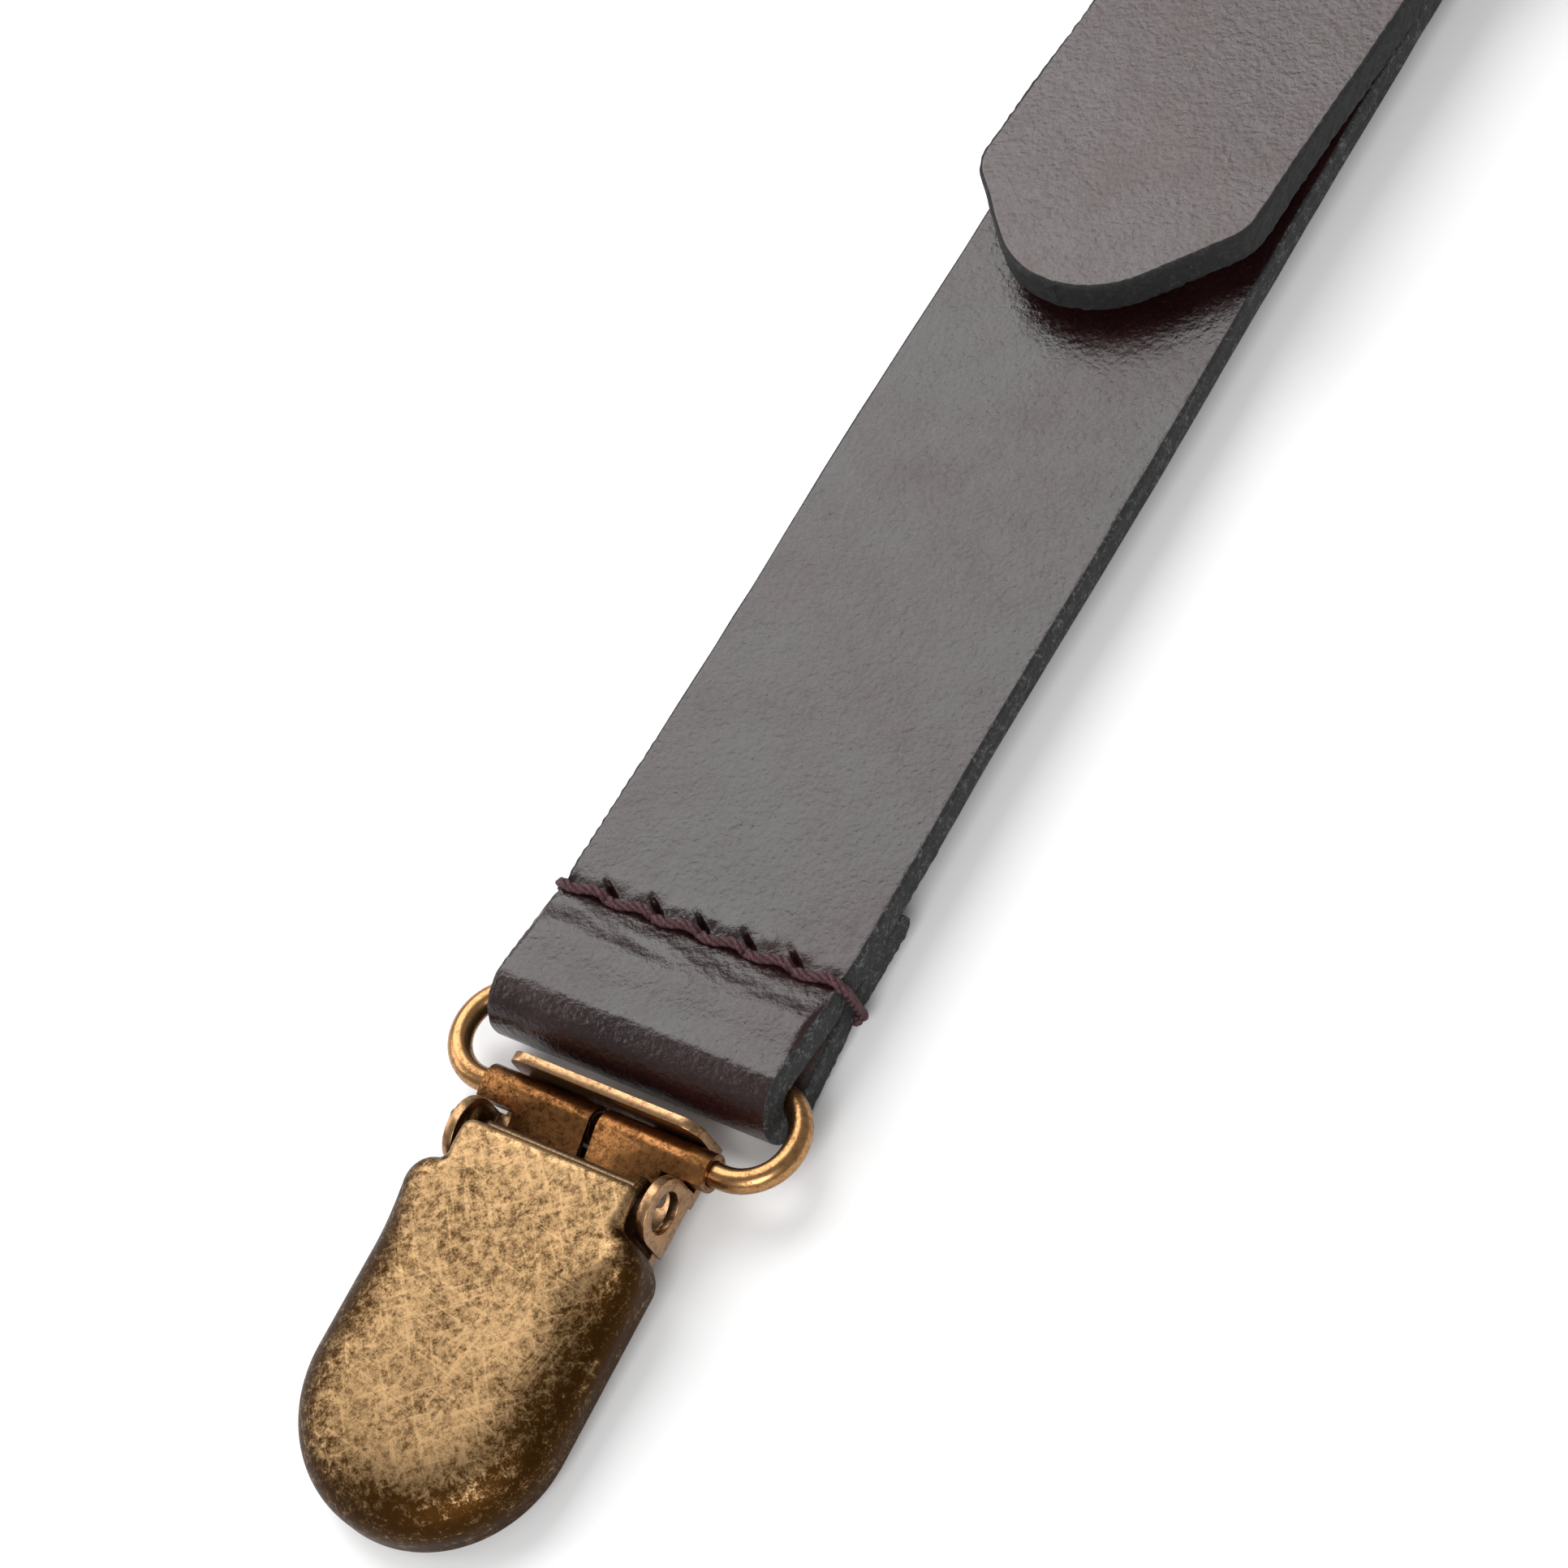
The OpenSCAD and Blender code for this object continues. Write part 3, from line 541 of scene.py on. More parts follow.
def shoulder_rise(y):
    """Height of the strap's middle layer at y: level on the lower strap, up over the heel, then down
    below the front bar, where it stays."""
    up = (over_heel - tab_low) * ease(187, 203, y)
    return tab_low + up + (under_bar - over_heel) * ease(206.5, 221.1, y)


def shoulder_outline():
    """Right half of the strap's plan from the nose to the patch, with the direction that faces out at
    each point: an arc, a straight slope, a small round corner and the long side."""
    corner = np.array([strap_half, tab_gap + corner_drop])
    centre = np.array([0, tab_gap + nose_r])
    span = np.linalg.norm(corner - centre)
    turn = math.degrees(math.atan2(corner[1] - centre[1], corner[0]) - math.acos(nose_r / span))
    nose = arc(centre, nose_r, -90, turn, 46)
    round_r, near_end = 1.6, 112
    slope_in = corner - (corner - nose[-1]) / np.linalg.norm(corner - nose[-1]) * round_r
    side_in = corner + [0, round_r]
    t = np.linspace(0, 1, 14)[:, None]
    bend = (1 - t) ** 2 * slope_in + 2 * t * (1 - t) * corner + t**2 * side_in
    near = line(side_in, (strap_half, near_end), 130)[1:]
    runs = [(near_end, 185, 30), (186, 224, 60), (226, shoulder_len, 120)]
    ys = np.concatenate([np.linspace(*run) for run in runs])
    far = np.stack([np.full(len(ys), strap_half), ys], 1)
    half = np.concatenate([nose, line(nose[-1], slope_in, 24)[1:], bend, near, far])
    way = np.gradient(half, axis=0)
    way /= np.linalg.norm(way, axis=1, keepdims=True)
    return half, np.stack([way[:, 1], -way[:, 0]], 1)


def shoulder_strap():
    """Grid of points: at each step along the outline, the strap's section runs across its top from
    edge to edge by way of the middle line, down the right edge, back below and up the left edge."""
    half, out = shoulder_outline()
    out[0] = (0, -1)
    arris, h = 0.4, shoulder_t / 2
    across, wall_steps = 33, 9
    middle = np.stack([np.zeros(len(half)), np.maximum(half[:, 1], tab_gap + nose_r)], 1)
    share = np.sin(np.linspace(-np.pi / 2, np.pi / 2, across))
    inner = half - out * arris
    left = [-1, 1]
    top = np.where(share[:, None, None] > 0, inner, inner * left) * np.abs(share)[:, None, None]
    top = top + middle * (1 - np.abs(share)[:, None, None])
    turn = np.linspace(0, np.pi / 2, 5)[1:]
    wall = np.linspace(arris, 2 * h - arris, wall_steps + 2)[1:-1]
    round_down = arris * (1 - np.cos(turn))
    sink = np.concatenate([round_down, wall, 2 * h - round_down[::-1]])
    reach = np.concatenate([np.sin(turn), np.ones(wall_steps), np.sin(turn)[::-1]]) * arris
    edge = inner + out * reach[:, None, None]
    plan = np.concatenate([top, edge, top[::-1], (edge * left)[::-1]])
    depth = np.concatenate([np.zeros(across), sink, np.full(across, 2 * h), sink[::-1]])
    kind = np.repeat([0.0, 1.0, 2.0, 1.0], [across, len(sink), across, len(sink)])
    plan = plan.transpose(1, 0, 2)
    kind = np.broadcast_to(kind, plan.shape[:2])
    x, y = plan[:, :, 0], plan[:, :, 1]
    edge_x = np.where(x > 0, 1, -1) * out[:, :1]
    edge_out = np.stack([edge_x, np.broadcast_to(out[:, 1:], x.shape)], 2)
    felt = 0.07 * ripple(y * 4 + x * 3, depth * 5, 11) + 0.05 * ripple(y * 0.5, np.sign(x) * 3, 4)
    plan = plan + edge_out * (felt * (kind == 1))[:, :, None]
    curl = 1.1 * (1 - ease(tab_gap, tab_gap + 44, y))
    bulge = 0.03 * ripple(x * 0.25, y * 0.2, 2) * (kind == 0)
    height = shoulder_rise(y) + h - depth + curl + bulge
    drift = tab_shift - 1.7 * (1 - ease(tab_gap, tab_gap + 55, y))
    grid = np.stack([plan[:, :, 0] + drift, plan[:, :, 1], height], 2)
    return grid, kind, False


def ring_of(centre, radius, stretch=0.0):
    """A circle of plan points, or a slot with round ends when it is stretched along Y."""
    a = np.linspace(0, 2 * np.pi, 28, endpoint=False)
    shift = np.where(np.sin(a) >= 0, stretch, -stretch)
    return np.stack([centre[0] + radius * np.cos(a), centre[1] + radius * np.sin(a) + shift], 1)


punches = [slab(ring_of((tab_shift, y), punch_r), -9, 9) for y in punch_ys]
punches.append(slab(ring_of((0, prong_hole_y), prong_hole_r, prong_hole_half), -9, 9))
# The tab is the lower straps' leather with its grain lightened to grey as painted sheen, and its cut edge
# darkened, partly as painted shade of the gap under its lifted nose.
shaded_dark_felt, sheen_grey_bloom = rgb(46, 46, 46), rgb(66, 50, 49)
sheen_tab_leather = bridle_leather(
    "tab leather painted sheen", rgb(58, 45, 44), rgb(14, 14, 15), 0.32, shaded_dark_felt, sheen_grey_bloom
)
for side in FRONTS:
    strap = make(f"{side}_shoulder_leather", [shoulder_strap()], strap_at[side])
    cut(strap, punches, strap_at[side])
    sew_in(strap, sheen_tab_leather, "leather", "leather", f"{side}_shoulder_strap")


# ---- Stitching ----
# Each row is one waxed thread of three plies twisted together. It lies over the top between its
# awl holes, sinks into each of them, goes round both edges of the strap and back along the underside.
ply_r, ply_out = 0.24, 0.2
twist = 2.3


def thread_path(count=900):
    """Closed middle line of a thread: over the top to the right, down, under to the left and up. It
    dips at every hole as a narrow bell curve and leans across the row by a small sine wave."""
    reach, top, low = strap_half + 0.28, 0.16, -2 * leather_t - 0.2
    r = 0.5
    corners = [(-reach + r, top), (reach - r, top), (reach, top - r), (reach, low + r)]
    corners += [(reach - r, low), (-reach + r, low), (-reach, low + r), (-reach, top - r)]
    outline = np.array(corners + corners[:1])
    step = np.linalg.norm(np.diff(outline, axis=0), axis=1)
    far = np.concatenate([[0], np.cumsum(step)])
    s = np.linspace(0, far[-1], count, endpoint=False)
    x, z = np.interp(s, far, outline[:, 0]), np.interp(s, far, outline[:, 1])
    on_top, below = z > top - 0.02, z < low + 0.02
    dip = sum(bell(x - hole, 0.3) for hole in hole_xs)
    z = z - 0.7 * dip * on_top + 0.5 * dip * below
    z = z + 0.1 * (1 - np.clip(dip, 0, 1)) * on_top
    lean = -0.22 * np.sin(2 * np.pi * (x + strap_half) / stitch_step) * (on_top | below)
    slant = 0.5 * np.clip((top - z) / (top - low), 0, 1) * (np.abs(x) > strap_half)
    return np.stack([x, lean + slant * (x > 0), z], 1), far[-1]


def twisted_thread(y):
    """Grids of the three plies: a small circle carried round the thread's path, and round its middle
    line once in every twist length."""
    path, length = thread_path()
    way = np.roll(path, -1, 0) - np.roll(path, 1, 0)
    way /= np.linalg.norm(way, axis=1, keepdims=True)
    first = np.cross(way, [0.0, 1.0, 0.0])
    first /= np.linalg.norm(first, axis=1, keepdims=True)
    second = np.cross(way, first)
    turns = round(length / twist)
    phase = np.linspace(0, 2 * np.pi * turns, len(path), endpoint=False)[:, None]
    round_ply = np.linspace(0, 2 * np.pi, 8, endpoint=False)[None, :]
    grids = []
    for ply in range(3):
        a = phase + 2 * np.pi * ply / 3
        u = ply_out * np.cos(a) + ply_r * np.cos(round_ply)
        v = ply_out * np.sin(a) + ply_r * np.sin(round_ply)
        grid = path[:, None, :] + u[:, :, None] * first[:, None, :]
        grid = grid + v[:, :, None] * second[:, None, :]
        grids.append((grid + [0, y, 0], np.zeros(grid.shape[:2]), True))
    return grids


def waxed_thread():
    """Plum brown fibres with a faint wax sheen, lighter where they stand proud."""
    f = Finish("waxed thread", Specular_IOR_Level=0.4)
    fibre = f.noise(5200, 3, 0.7)
    worn = f.noise(700, 2)
    colour = f.mix(fibre.between(0.4, 0.7), rgb(52, 26, 30), rgb(98, 62, 66))
    colour = f.mix(worn.between(0.5, 0.7) * 0.5, colour, rgb(40, 20, 24))
    fuzz = f.bump(fibre, 0.00006, 0.8)
    return f.set(Base_Color=colour, Roughness=0.5 + fibre * 0.3, Normal=fuzz).material


thread_finish = waxed_thread()
for side in ENDS:
    row = make(f"{side}_clip_thread", twisted_thread(0), strap_at[side])
    sew_in(row, thread_finish, "leather", "thread", f"{side}_clip_stitching")
for side in FRONTS:
    row = make(f"{side}_buckle_thread", twisted_thread(heel_stitch), strap_at[side])
    sew_in(row, thread_finish, "leather", "thread", f"{side}_buckle_stitching")


# ---- Keepers ----
# A narrow loop of thinner leather round both straps below each buckle. It slides along them and
# holds the end of the shoulder strap down; its two ends are glued together on the underside.
keeper_t, keeper_len, keeper_y = 1.6, 11.0, 118.0
keeper_gap = 0.4


def keeper_loop():
    """The keeper's narrow section carried round a rectangle with round corners that stands across the
    strap, so that its rows close on themselves. Its grain side is crowned by a parabola."""
    low = np.array([-strap_half - keeper_gap, -leather_t - keeper_gap])
    strap_top = tab_low + shoulder_t / 2
    high = np.array([strap_half + tab_shift + keeper_gap, strap_top + keeper_gap])
    corners = [(low[0], high[1]), (high[0], high[1]), (high[0], low[1]), (low[0], low[1])]
    bows = [
        arc(corner, keeper_t / 2, start, start - 90, 10)
        for corner, start in zip(corners, (180, 90, 0, -90))
    ]
    runs = []
    for number, steps in enumerate((40, 6, 40, 6)):
        bow, after = bows[number], bows[(number + 1) % 4]
        runs += [bow[:-1], line(bow[-1], after[0], steps)]
    path = np.concatenate(runs)
    way = np.roll(path, -1, 0) - np.roll(path, 1, 0)
    way /= np.linalg.norm(way, axis=1, keepdims=True)
    outward = np.stack([-way[:, 1], way[:, 0]], 1)
    section, kind = band_section(keeper_len / 2, keeper_t, 24, 0.25)
    crown = 0.12 * (1 - (section[:, 0] / (keeper_len / 2)) ** 2) * (kind == 0)
    lift = section[:, 1] + crown
    xz = path[:, None, :] + outward[:, None, :] * lift[None, :, None]
    y = np.broadcast_to(keeper_y + section[:, 0], xz.shape[:2])
    grid = np.stack([xz[:, :, 0], y, xz[:, :, 1]], 2)
    return grid, np.broadcast_to(kind, grid.shape[:2]), True


keeper_leather = bridle_leather("keeper leather", rgb(27, 11, 11), rgb(24, 23, 24))
for side in FRONTS:
    loop = make(f"{side}_keeper_leather", [keeper_loop()], strap_at[side])
    sew_in(loop, keeper_leather, f"{side}_keeper", "keeper_leather", f"{side}_keeper")


# ---- Patch ----
# Two leaves of leather in the shape of a shield hold the three straps between them, with six
# two-part brass rivets. A line is creased into the front leaf just inside its edge.
patch_t = 2.0
patch_half, patch_down, patch_up = 36.0, 36.0, 38.0
side_r, cap_r, waist_y = 90.0, 60.0, -12.0


def meet(c1, r1, c2, r2, pick):
    """Where two circles cross: the crossing with the larger value of pick . point."""
    c1, c2 = np.array(c1, float), np.array(c2, float)
    gap = np.linalg.norm(c2 - c1)
    a = (r1**2 - r2**2 + gap**2) / (2 * gap)
    way = (c2 - c1) / gap
    side = np.array([-way[1], way[0]]) * math.sqrt(r1**2 - a**2)
    return max((c1 + a * way + side, c1 + a * way - side), key=lambda p: np.dot(p, pick))


def patch_outline(count=72):
    """The shield's plan, anticlockwise: low edge, right side, high edge and left side, each an arc."""
    low, high = (0, cap_r - patch_down), (0, patch_up - cap_r)
    right, left = (patch_half - side_r, waist_y), (side_r - patch_half, waist_y)
    low_right = meet(low, cap_r, right, side_r, (1, -1))
    high_right = meet(high, cap_r, right, side_r, (1, 1))
    low_left, high_left = low_right * [-1, 1], high_right * [-1, 1]
    runs = [(low, cap_r, low_left, low_right), (right, side_r, low_right, high_right)]
    runs += [(high, cap_r, high_right, high_left), (left, side_r, high_left, low_left)]
    points = []
    for centre, radius, a, b in runs:
        turn = [math.degrees(math.atan2(p[1] - centre[1], p[0] - centre[0])) for p in (a, b)]
        turn[1] += 360 if turn[1] < turn[0] else 0
        points.append(arc(centre, radius, turn[0], turn[1], count)[:-1])
    return np.concatenate(points)


def patch_leaf(low, crease):
    """Grid of a leaf: rings that shrink from the outline to the middle, over the top, down the edge and
    back below, with rounded arrises and a V-shaped crease 3 mm inside the edge of the front leaf."""
    outline = patch_outline()
    way = np.roll(outline, -1, 0) - np.roll(outline, 1, 0)
    out = np.stack([way[:, 1], -way[:, 0]], 1) / np.linalg.norm(way, axis=1, keepdims=True)
    inset = [[36, 30, 24, 18, 12, 8, 5, 3.9], np.linspace(3.6, 2.4, 13), [2, 1.2, 0.7, 0.4]]
    inset = np.concatenate(inset)
    high, arris = low + patch_t, 0.4
    top = high - 0.35 * crease * bell(inset - 3, 0.28)
    turn = np.linspace(0, np.pi / 2, 5)[1:]
    round_in, round_down = arris * (1 - np.sin(turn)), arris * (1 - np.cos(turn))
    inset = np.concatenate([inset, round_in, np.zeros(6)])
    top = np.concatenate([top, high - round_down, np.linspace(high - 0.6, low + arris, 6)])
    below = len(inset)
    inset = np.concatenate([inset, round_in[::-1], [arris, 5, 12, 24, 36]])
    top = np.concatenate([top, low + round_down[::-1], np.full(5, low)])
    plan = outline * (1 - inset / patch_half)[:, None, None]
    wall = (inset == 0)[:, None]
    felt = 0.06 * ripple(outline[:, 0] * 4, outline[:, 1] * 4 + top[:, None] * 5, 21) * wall
    plan = plan + out * felt[:, :, None]
    height = np.broadcast_to(top[:, None, None], plan.shape[:2] + (1,))
    is_back = (np.arange(len(inset)) >= below)[:, None]
    kind = np.where(wall, 1.0, np.where(is_back, 2.0, 0.0))
    return np.concatenate([plan, height], 2), np.broadcast_to(kind, plan.shape[:2]), False


mount = {m["name"]: m for m in frame["record"]["mounts"]}
patch_y, strap_z = mount["patch_back_face"]["pos_m"][1], strap_at["left"][0][2]
patch_at = (np.array([0, patch_y, strap_z]), np.eye(3))
patch_leather = bridle_leather("patch leather", rgb(28, 12, 12), rgb(24, 23, 24), 0.32)
for name, low, crease in (("front", 0.0, 1), ("back", -shoulder_t - patch_t, 0)):
    leaf = make(f"patch_{name}_leather", [patch_leaf(low, crease)], patch_at)
    sew_in(leaf, patch_leather, "leather", "leather", f"patch_{name}")

rivet_r, rivet_rise, foot_proud = 3.5, 0.8, 0.04


def lathe(profile, x, y, count=48):
    """A closed piece turned about Z at (x, y): each (radius, z) of a profile goes round a circle."""
    a = np.linspace(0, 2 * np.pi, count, endpoint=False)
    radius, z = np.array(profile, float).T
    xs, ys = x + radius[:, None] * np.cos(a), y + radius[:, None] * np.sin(a)
    grid = np.stack([xs, ys, z[:, None] + 0 * a], 2)
    return grid, np.zeros(grid.shape[:2]), False


def rivet(x, y):
    """A low domed cap on the front leaf and a flat foot that stands just out of the back leaf."""
    lean = np.linspace(0, np.pi / 2, 9)
    dome_z = patch_t + rivet_rise * np.cos(lean) ** 0.9
    dome = np.stack([rivet_r * np.sin(lean) ** 0.8, dome_z], 1)
    seat = [(rivet_r, patch_t), (rivet_r - 0.4, patch_t - 0.1), (0, patch_t - 0.1)]
    cap = np.concatenate([dome, seat])
    low = -shoulder_t - patch_t - foot_proud
    foot = [(0, low), (2.6, low), (3.1, low + 0.08)]
    foot += [(3.3, low + 0.3), (3.3, low + 0.6), (0, low + 0.6)]
    return [lathe(cap, x, y), lathe(foot, x, y)]


scratches = [(0.5, 2200, 22, 0.58), (2.1, 2500, 24, 0.58)]
scratches += [(1.2, 2300, 20, 0.6), (2.8, 2700, 26, 0.6)]


def hairlines(f, turn, scale, stretch, low):
    """Thin straight scratches in one direction: noise drawn out along a turned axis and cut narrow."""
    inputs = {"Vector": f.spot, "Rotation": (0, 0, turn), "Scale": (stretch, 1.0, 1.0)}
    drawn = f.node("ShaderNodeMapping", {"vector_type": "TEXTURE"}, inputs)
    return f.noise(scale, 2, 0.5, drawn, 0.4).between(low, low + 0.08)


def antique_brass(name, bright, dark, worn=0.5, gloss=0.3, rim=False):
    """Brass gone brown in fine mottling and rubbed bright between, crossed by hairlines. With rim set,
    the attribute "side" adds painted shade: 0 adds none and 1 darkens a rim as painted shade."""
    f = Finish(name, Metallic=1.0)
    fine = f.noise(5600, 4, 0.75)
    patch = f.noise(1500, 5, 0.75)
    broad = f.noise(150, 3, 0.6)
    stain = fine.between(0.3, 0.7) * 0.4 + patch.between(0.35, 0.7) * 0.6
    stain = stain + (broad - 0.5) * 0.7 + (worn - 0.5)
    if rim:
        # Painted shade: the side value darkens the cover's rim, lip, tabs and inside.
        stain = stain - 0.1 + f.side().between(0.15, 1.0) * 0.7
    lines = sum(hairlines(f, *scratch) for scratch in scratches)
    stain = (stain - lines * 0.21).between(0.0, 1.2)
    colour = f.mix(stain, bright, dark)
    rough = gloss + stain * 0.16 + (fine - 0.5) * 0.15
    relief = f.bump(fine * 0.5 + lines * 0.2 - stain * 0.3, 0.000015, 0.5)
    return f.set(Base_Color=colour, Roughness=rough, Normal=relief).material


rivet_brass = antique_brass("rivet brass", rgb(184, 148, 102), rgb(80, 54, 30))
rivet_from_end = (9.0, 24.0)
riveted = {side: (shoulder_len, tab_shift) for side in FRONTS}
riveted["back"] = (back_len, 0.0)
heads = []
for side, (length, x) in riveted.items():
    for back in rivet_from_end:
        for grid, kind, closed in rivet(x, length - back):
            spots = (put(grid.reshape(-1, 3), strap_at[side]) - patch_at[0]) / MM
            heads.append((spots.reshape(grid.shape), kind, closed))
heads = make("patch_rivet_heads", heads, patch_at)
sew_in(heads, rivet_brass, "leather", "rivet_brass", "patch_rivets")


# ---- Clip covers ----
# A domed tray of pressed brass sheet, open below, with two tabs on the pivot pin and a ridge that
# bites the cloth. Each clip is measured in millimetres from the ring's lower bar: its tip lies along
# -Y, and Z stands out of its face.
sheet_t = 0.8
cover_half, cover_h, cover_low, cover_tip = 10.5, 5.0, 0.1, -33.762
neck_half, neck_y, shoulder_y, shoulder_r = 7.7, -3.962, -7.4, 2.7
hollow_r, wall_h = 0.8, 1.5
dome_reach, neck_reach, neck_drop = 6.4, 0.9, 0.75
pin_y, pin_z, tab_r = -3.812, 2.609, 1.7


def clip_place(side):
    """Origin and X, Y, Z of a clip: the ring's lower bar, the strap's X, and Y away from the mouth."""
    away = -np.array(mount[side + "_clip_mouth"]["axis"])
    across = strap_at[side][1][0]
    up = np.cross(across, away) * HAND[side]
    return np.array(hinges[side + "_clip_swing"]["pos_m"]), np.array([across, away, up])


clip_at = {side: clip_place(side) for side in ENDS}


def cover_outline():
    """Half of the cover's plan from the middle of its neck to its tip, with its outward direction and
    how far each point belongs to the body: 0 on the neck, 1 past the shoulder, soft between."""
    corner = 0.9
    front = line((0, neck_y), (neck_half - corner, neck_y), 26)
    turn_in = arc((neck_half - corner, neck_y - corner), corner, 90, 0, 9)[:-1]
    centre = np.array([cover_half - shoulder_r, shoulder_y - shoulder_r])
    away = shoulder_r + hollow_r
    hollow_x = neck_half + hollow_r
    hollow = (hollow_x, centre[1] + math.sqrt(away**2 - (hollow_x - centre[0]) ** 2))
    lean = math.degrees(math.atan2(hollow[1] - centre[1], hollow[0] - centre[0]))
    side_in = line((neck_half, neck_y - corner), (neck_half, hollow[1]), 14)
    fillet = arc(hollow, hollow_r, 180, 180 + lean, 22)[:-1]
    shoulder = arc(centre, shoulder_r, lean, 0, 26)[:-1]
    side = line((cover_half, centre[1]), (cover_half, cover_tip + cover_half), 44)
    tip = arc((0, cover_tip + cover_half), cover_half, 0, -90, 70)
    half = np.concatenate([front, turn_in, side_in, fillet, shoulder, side, tip])
    body = np.zeros(len(half))
    first = len(front) + len(turn_in) + len(side_in)
    last = first + len(fillet) + len(shoulder)
    body[last:] = 1
    body[first:last] = ease(0, 1, np.linspace(0, 1, last - first))
    way = np.gradient(half, axis=0)
    out = np.stack([-way[:, 1], way[:, 0]], 1) / np.linalg.norm(way, axis=1, keepdims=True)
    out[0], out[-1] = (0, 1), (0, -1)
    return half, out, body


def cover_face(plan, outline, thick):
    """Height of the tray's face at plan points: it falls from the middle to the rim as a superellipse
    of the distance to the outline, steeply at the neck and gently along the body."""
    step = np.roll(outline, -1, 0) - outline
    fine = np.concatenate([outline + step * t for t in (0, 0.25, 0.5, 0.75)])
    near = np.stack([np.sqrt(((row[:, None] - fine) ** 2).sum(2)).min(1) for row in plan])
    body = 1 - ease(-15.0, -6.2, plan[:, :, 1])
    reach = neck_reach + (dome_reach - neck_reach) * body - 0.6 * thick
    dome_drop = cover_h - cover_low - wall_h - neck_drop
    drop = neck_drop + dome_drop * np.sqrt(body) * (1 - 0.2 * thick)
    s = np.clip(near / reach, 0, 1)
    return cover_h - thick - drop * (1 - (1 - (1 - s) ** 2.5) ** (1 / 2.1)), 1 - s


def cover_shell():
    """Grid of the tray: rings from the middle line out to the rim, over it and back inside, where the
    face is one sheet lower."""
    half, out, body = cover_outline()
    outline = np.concatenate([half, (half * [-1, 1])[-2:0:-1]])
    out = np.concatenate([out, (out * [-1, 1])[-2:0:-1]])
    body = np.concatenate([body, body[-2:0:-1]])
    inner = outline - out * sheet_t
    spine_y = np.clip(outline[:, 1], cover_tip + cover_half, neck_y - 2.0)
    spine = np.stack([np.zeros(len(outline)), spine_y], 1)
    neck_rim = cover_h - sheet_t - 0.06
    rim = neck_rim - (neck_rim - cover_low) * body
    share = (1 - (1 - np.linspace(0, 1, 44)) ** 2)[:, None, None]
    face = spine + (outline - spine) * share
    # Each point's share of painted shade: 0 in the middle, 1 at the rim, and none on the neck.
    face_z, rim_shade = cover_face(face, outline, 0)
    rim_shade = rim_shade * np.clip(body * 3, 0, 1)
    dimples = ripple(face[:, :, 0] * 0.35, face[:, :, 1] * 0.3, 31)
    press = 0.03 + 0.035 * dimples * (1 - rim_shade)
    under = inner + (spine - inner) * (1 - share[::-1][::2])
    under_z, _ = cover_face(under, inner, sheet_t)
    edge_high = face_z[-1] - 0.03
    fall = np.linspace(0.15, 1, 6)[:, None]
    wall_z = edge_high + (rim + 0.12 - edge_high) * fall
    lip = [(0.06, 0.02, 0.0), (sheet_t - 0.12, 0.0, 0.6), (sheet_t, 0.05, 1.6)]
    plans = [face, np.broadcast_to(outline, (6,) + outline.shape)]
    plans += [(outline - out * inset)[None] for inset, _, _ in lip] + [under]
    levels = [face_z - press, wall_z] + [(rim + up)[None] for _, up, _ in lip]
    levels.append(np.maximum(under_z, rim + 0.06))
    # Painted shade: the wall takes it along the body, the lip's third numbers add more below the rim, and the
    # inside of the tray takes the most.
    rim_shades = [rim_shade, np.broadcast_to(body, wall_z.shape)]
    rim_shades += [(body + more_shade)[None] for _, _, more_shade in lip] + [np.full(under_z.shape, 1.6)]
    plan, z, rim_shade = np.concatenate(plans), np.concatenate(levels), np.concatenate(rim_shades)
    return np.concatenate([plan, z[:, :, None]], 2), rim_shade, False


def cover_tab(x):
    """Grid of a tab beside the pin: a round end below a straight shank, as (y, z), one sheet thick."""
    bow = arc((pin_y, pin_z), tab_r, 180, 360, 40)
    shank = [(pin_y + tab_r, cover_h - 0.9), (pin_y - tab_r - 0.6, cover_h - 0.5)]
    shape = np.concatenate([bow, shank])
    shape = np.minimum(shape, [neck_y + 0.9, 9.0])
    middle = shape.mean(0)
    rows = []
    for shift, shrink in ((-0.4, 0.93), (-0.3, 1.0), (0.3, 1.0), (0.4, 0.93)):
        yz = middle + (shape - middle) * shrink
        rows.append(np.column_stack([np.full(len(yz), x + shift), yz]))
    grid = np.stack(rows)
    # A side value of 0.9 gives the tab nearly the cover's full painted shade.
    return grid, np.full(grid.shape[:2], 0.9), False


# The cover brass darkens the rim, lip, tabs, ridge and inside by their side values as painted shade; its mottling
# is patina.
cover_brass = antique_brass("cover brass", rgb(176, 143, 102), rgb(58, 36, 11), 0.72, 0.36, True)
bite = slab(rectangle(6.5, -23.93, -22.93), 1.15, cover_h - sheet_t + 0.1)
tab_x = neck_half - sheet_t / 2
for side in ENDS:
    parts = [cover_shell(), cover_tab(tab_x), cover_tab(-tab_x), bite]
    shell = make(f"{side}_cover_shell", parts, clip_at[side])
    sew_in(shell, cover_brass, f"{side}_cover", "cover_brass", f"{side}_cover")


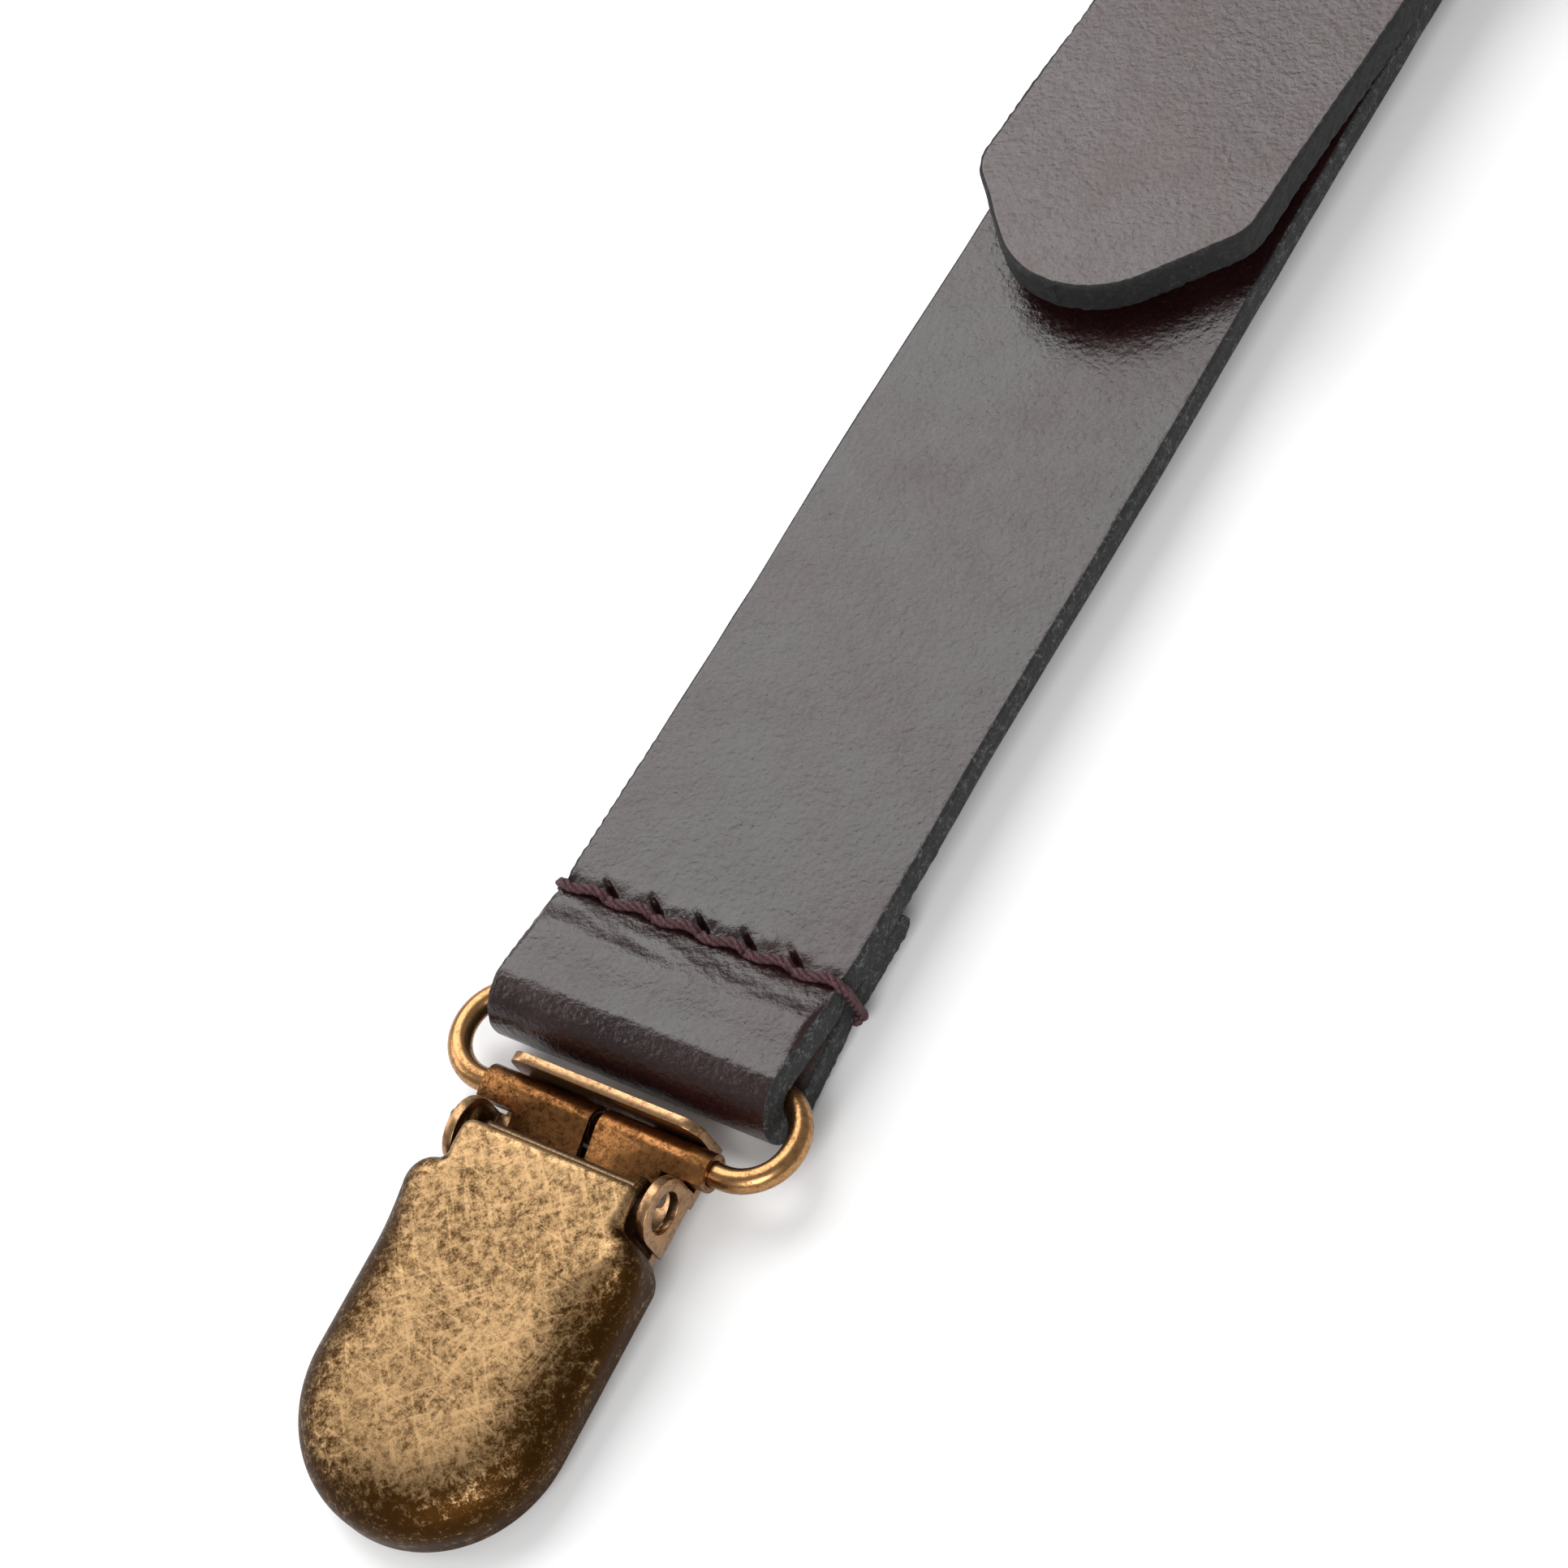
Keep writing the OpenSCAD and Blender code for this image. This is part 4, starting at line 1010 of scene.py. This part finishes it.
# ---- Clip plates, sleeves, rings, buckles and pins ----
# The back plate and the ring's sleeve are bent and rolled from brass sheet with eased edges. Wire
# rings, buckle frames and prongs are round brass rod, the pins are steel, and the jaw pads are
# moulded plastic.
def eased(name, node, body, slot, material, width):
    """A merged copy of a CAD piece whose sharp edges are rounded by width in metres."""
    source = frame["nodes"][node]
    mesh = source.data.copy()
    mesh.transform(source.matrix_world)
    shape = bmesh.new()
    shape.from_mesh(mesh)
    bmesh.ops.remove_doubles(shape, verts=shape.verts, dist=2e-6)
    flat = math.radians(1)
    bmesh.ops.dissolve_limit(shape, angle_limit=flat, verts=shape.verts, edges=shape.edges)
    bmesh.ops.recalc_face_normals(shape, faces=shape.faces)
    for face in shape.faces:
        face.smooth = True
    shape.to_mesh(mesh)
    shape.free()
    piece = add(name, mesh)
    easing = piece.modifiers.new("ease", "BEVEL")
    easing.width, easing.segments, easing.limit_method = width, 2, "ANGLE"
    easing.angle_limit, easing.use_clamp_overlap = math.radians(35), True
    easing.harden_normals = True
    view = bpy.context.evaluated_depsgraph_get()
    piece.data = bpy.data.meshes.new_from_object(piece.evaluated_get(view), depsgraph=view)
    piece.modifiers.clear()
    sew_in(piece, material, body, slot, node)


def fine_grained(name, metal, first, second, gloss):
    """One colour shading softly into another over a fine grain: drawn steel, or moulded plastic."""
    f = Finish(name, Metallic=metal)
    grain = f.noise(3600, 3, 0.7)
    colour = f.mix(grain.between(0.35, 0.7), first, second)
    relief = f.bump(grain, 0.00001, 0.5)
    return f.set(Base_Color=colour, Roughness=gloss + grain * 0.15, Normal=relief).material


def coat(node, material):
    """Gives a CAD piece its finish."""
    mesh = frame["nodes"][node].data
    mesh.materials.clear()
    mesh.materials.append(material)


plate_brass = antique_brass("plate brass", rgb(168, 132, 96), rgb(62, 38, 20), 0.42, 0.3)
sleeve_brass = antique_brass("sleeve brass", rgb(140, 96, 56), rgb(50, 25, 9), 0.62, 0.28)
ring_brass = antique_brass("ring brass", rgb(172, 130, 86), rgb(80, 50, 26), 0.4, 0.26)
buckle_brass = antique_brass("buckle brass", rgb(174, 134, 88), rgb(76, 48, 24), 0.4, 0.28)
pin_steel = fine_grained("pin steel", 1.0, rgb(116, 95, 73), rgb(80, 62, 46), 0.28)
pad_plastic = fine_grained("pad plastic", 0.0, rgb(22, 20, 19), rgb(34, 31, 30), 0.42)
for side in ENDS:
    clip = f"{side}_clip"
    eased(f"{side}_plate", f"{side}_back_plate", clip, "plate_brass", plate_brass, 0.00014)
    eased(f"{side}_sleeve", f"{side}_ring_sleeve", clip, "sleeve_brass", sleeve_brass, 0.0001)
    coat(f"{side}_ring", ring_brass)
    coat(f"{side}_sleeve_rivets", rivet_brass)
    coat(f"{side}_pivot_pin", pin_steel)
    coat(f"{side}_jaw_pad", pad_plastic)
for side in FRONTS:
    coat(f"{side}_buckle_frame", buckle_brass)
    coat(f"{side}_prong", buckle_brass)
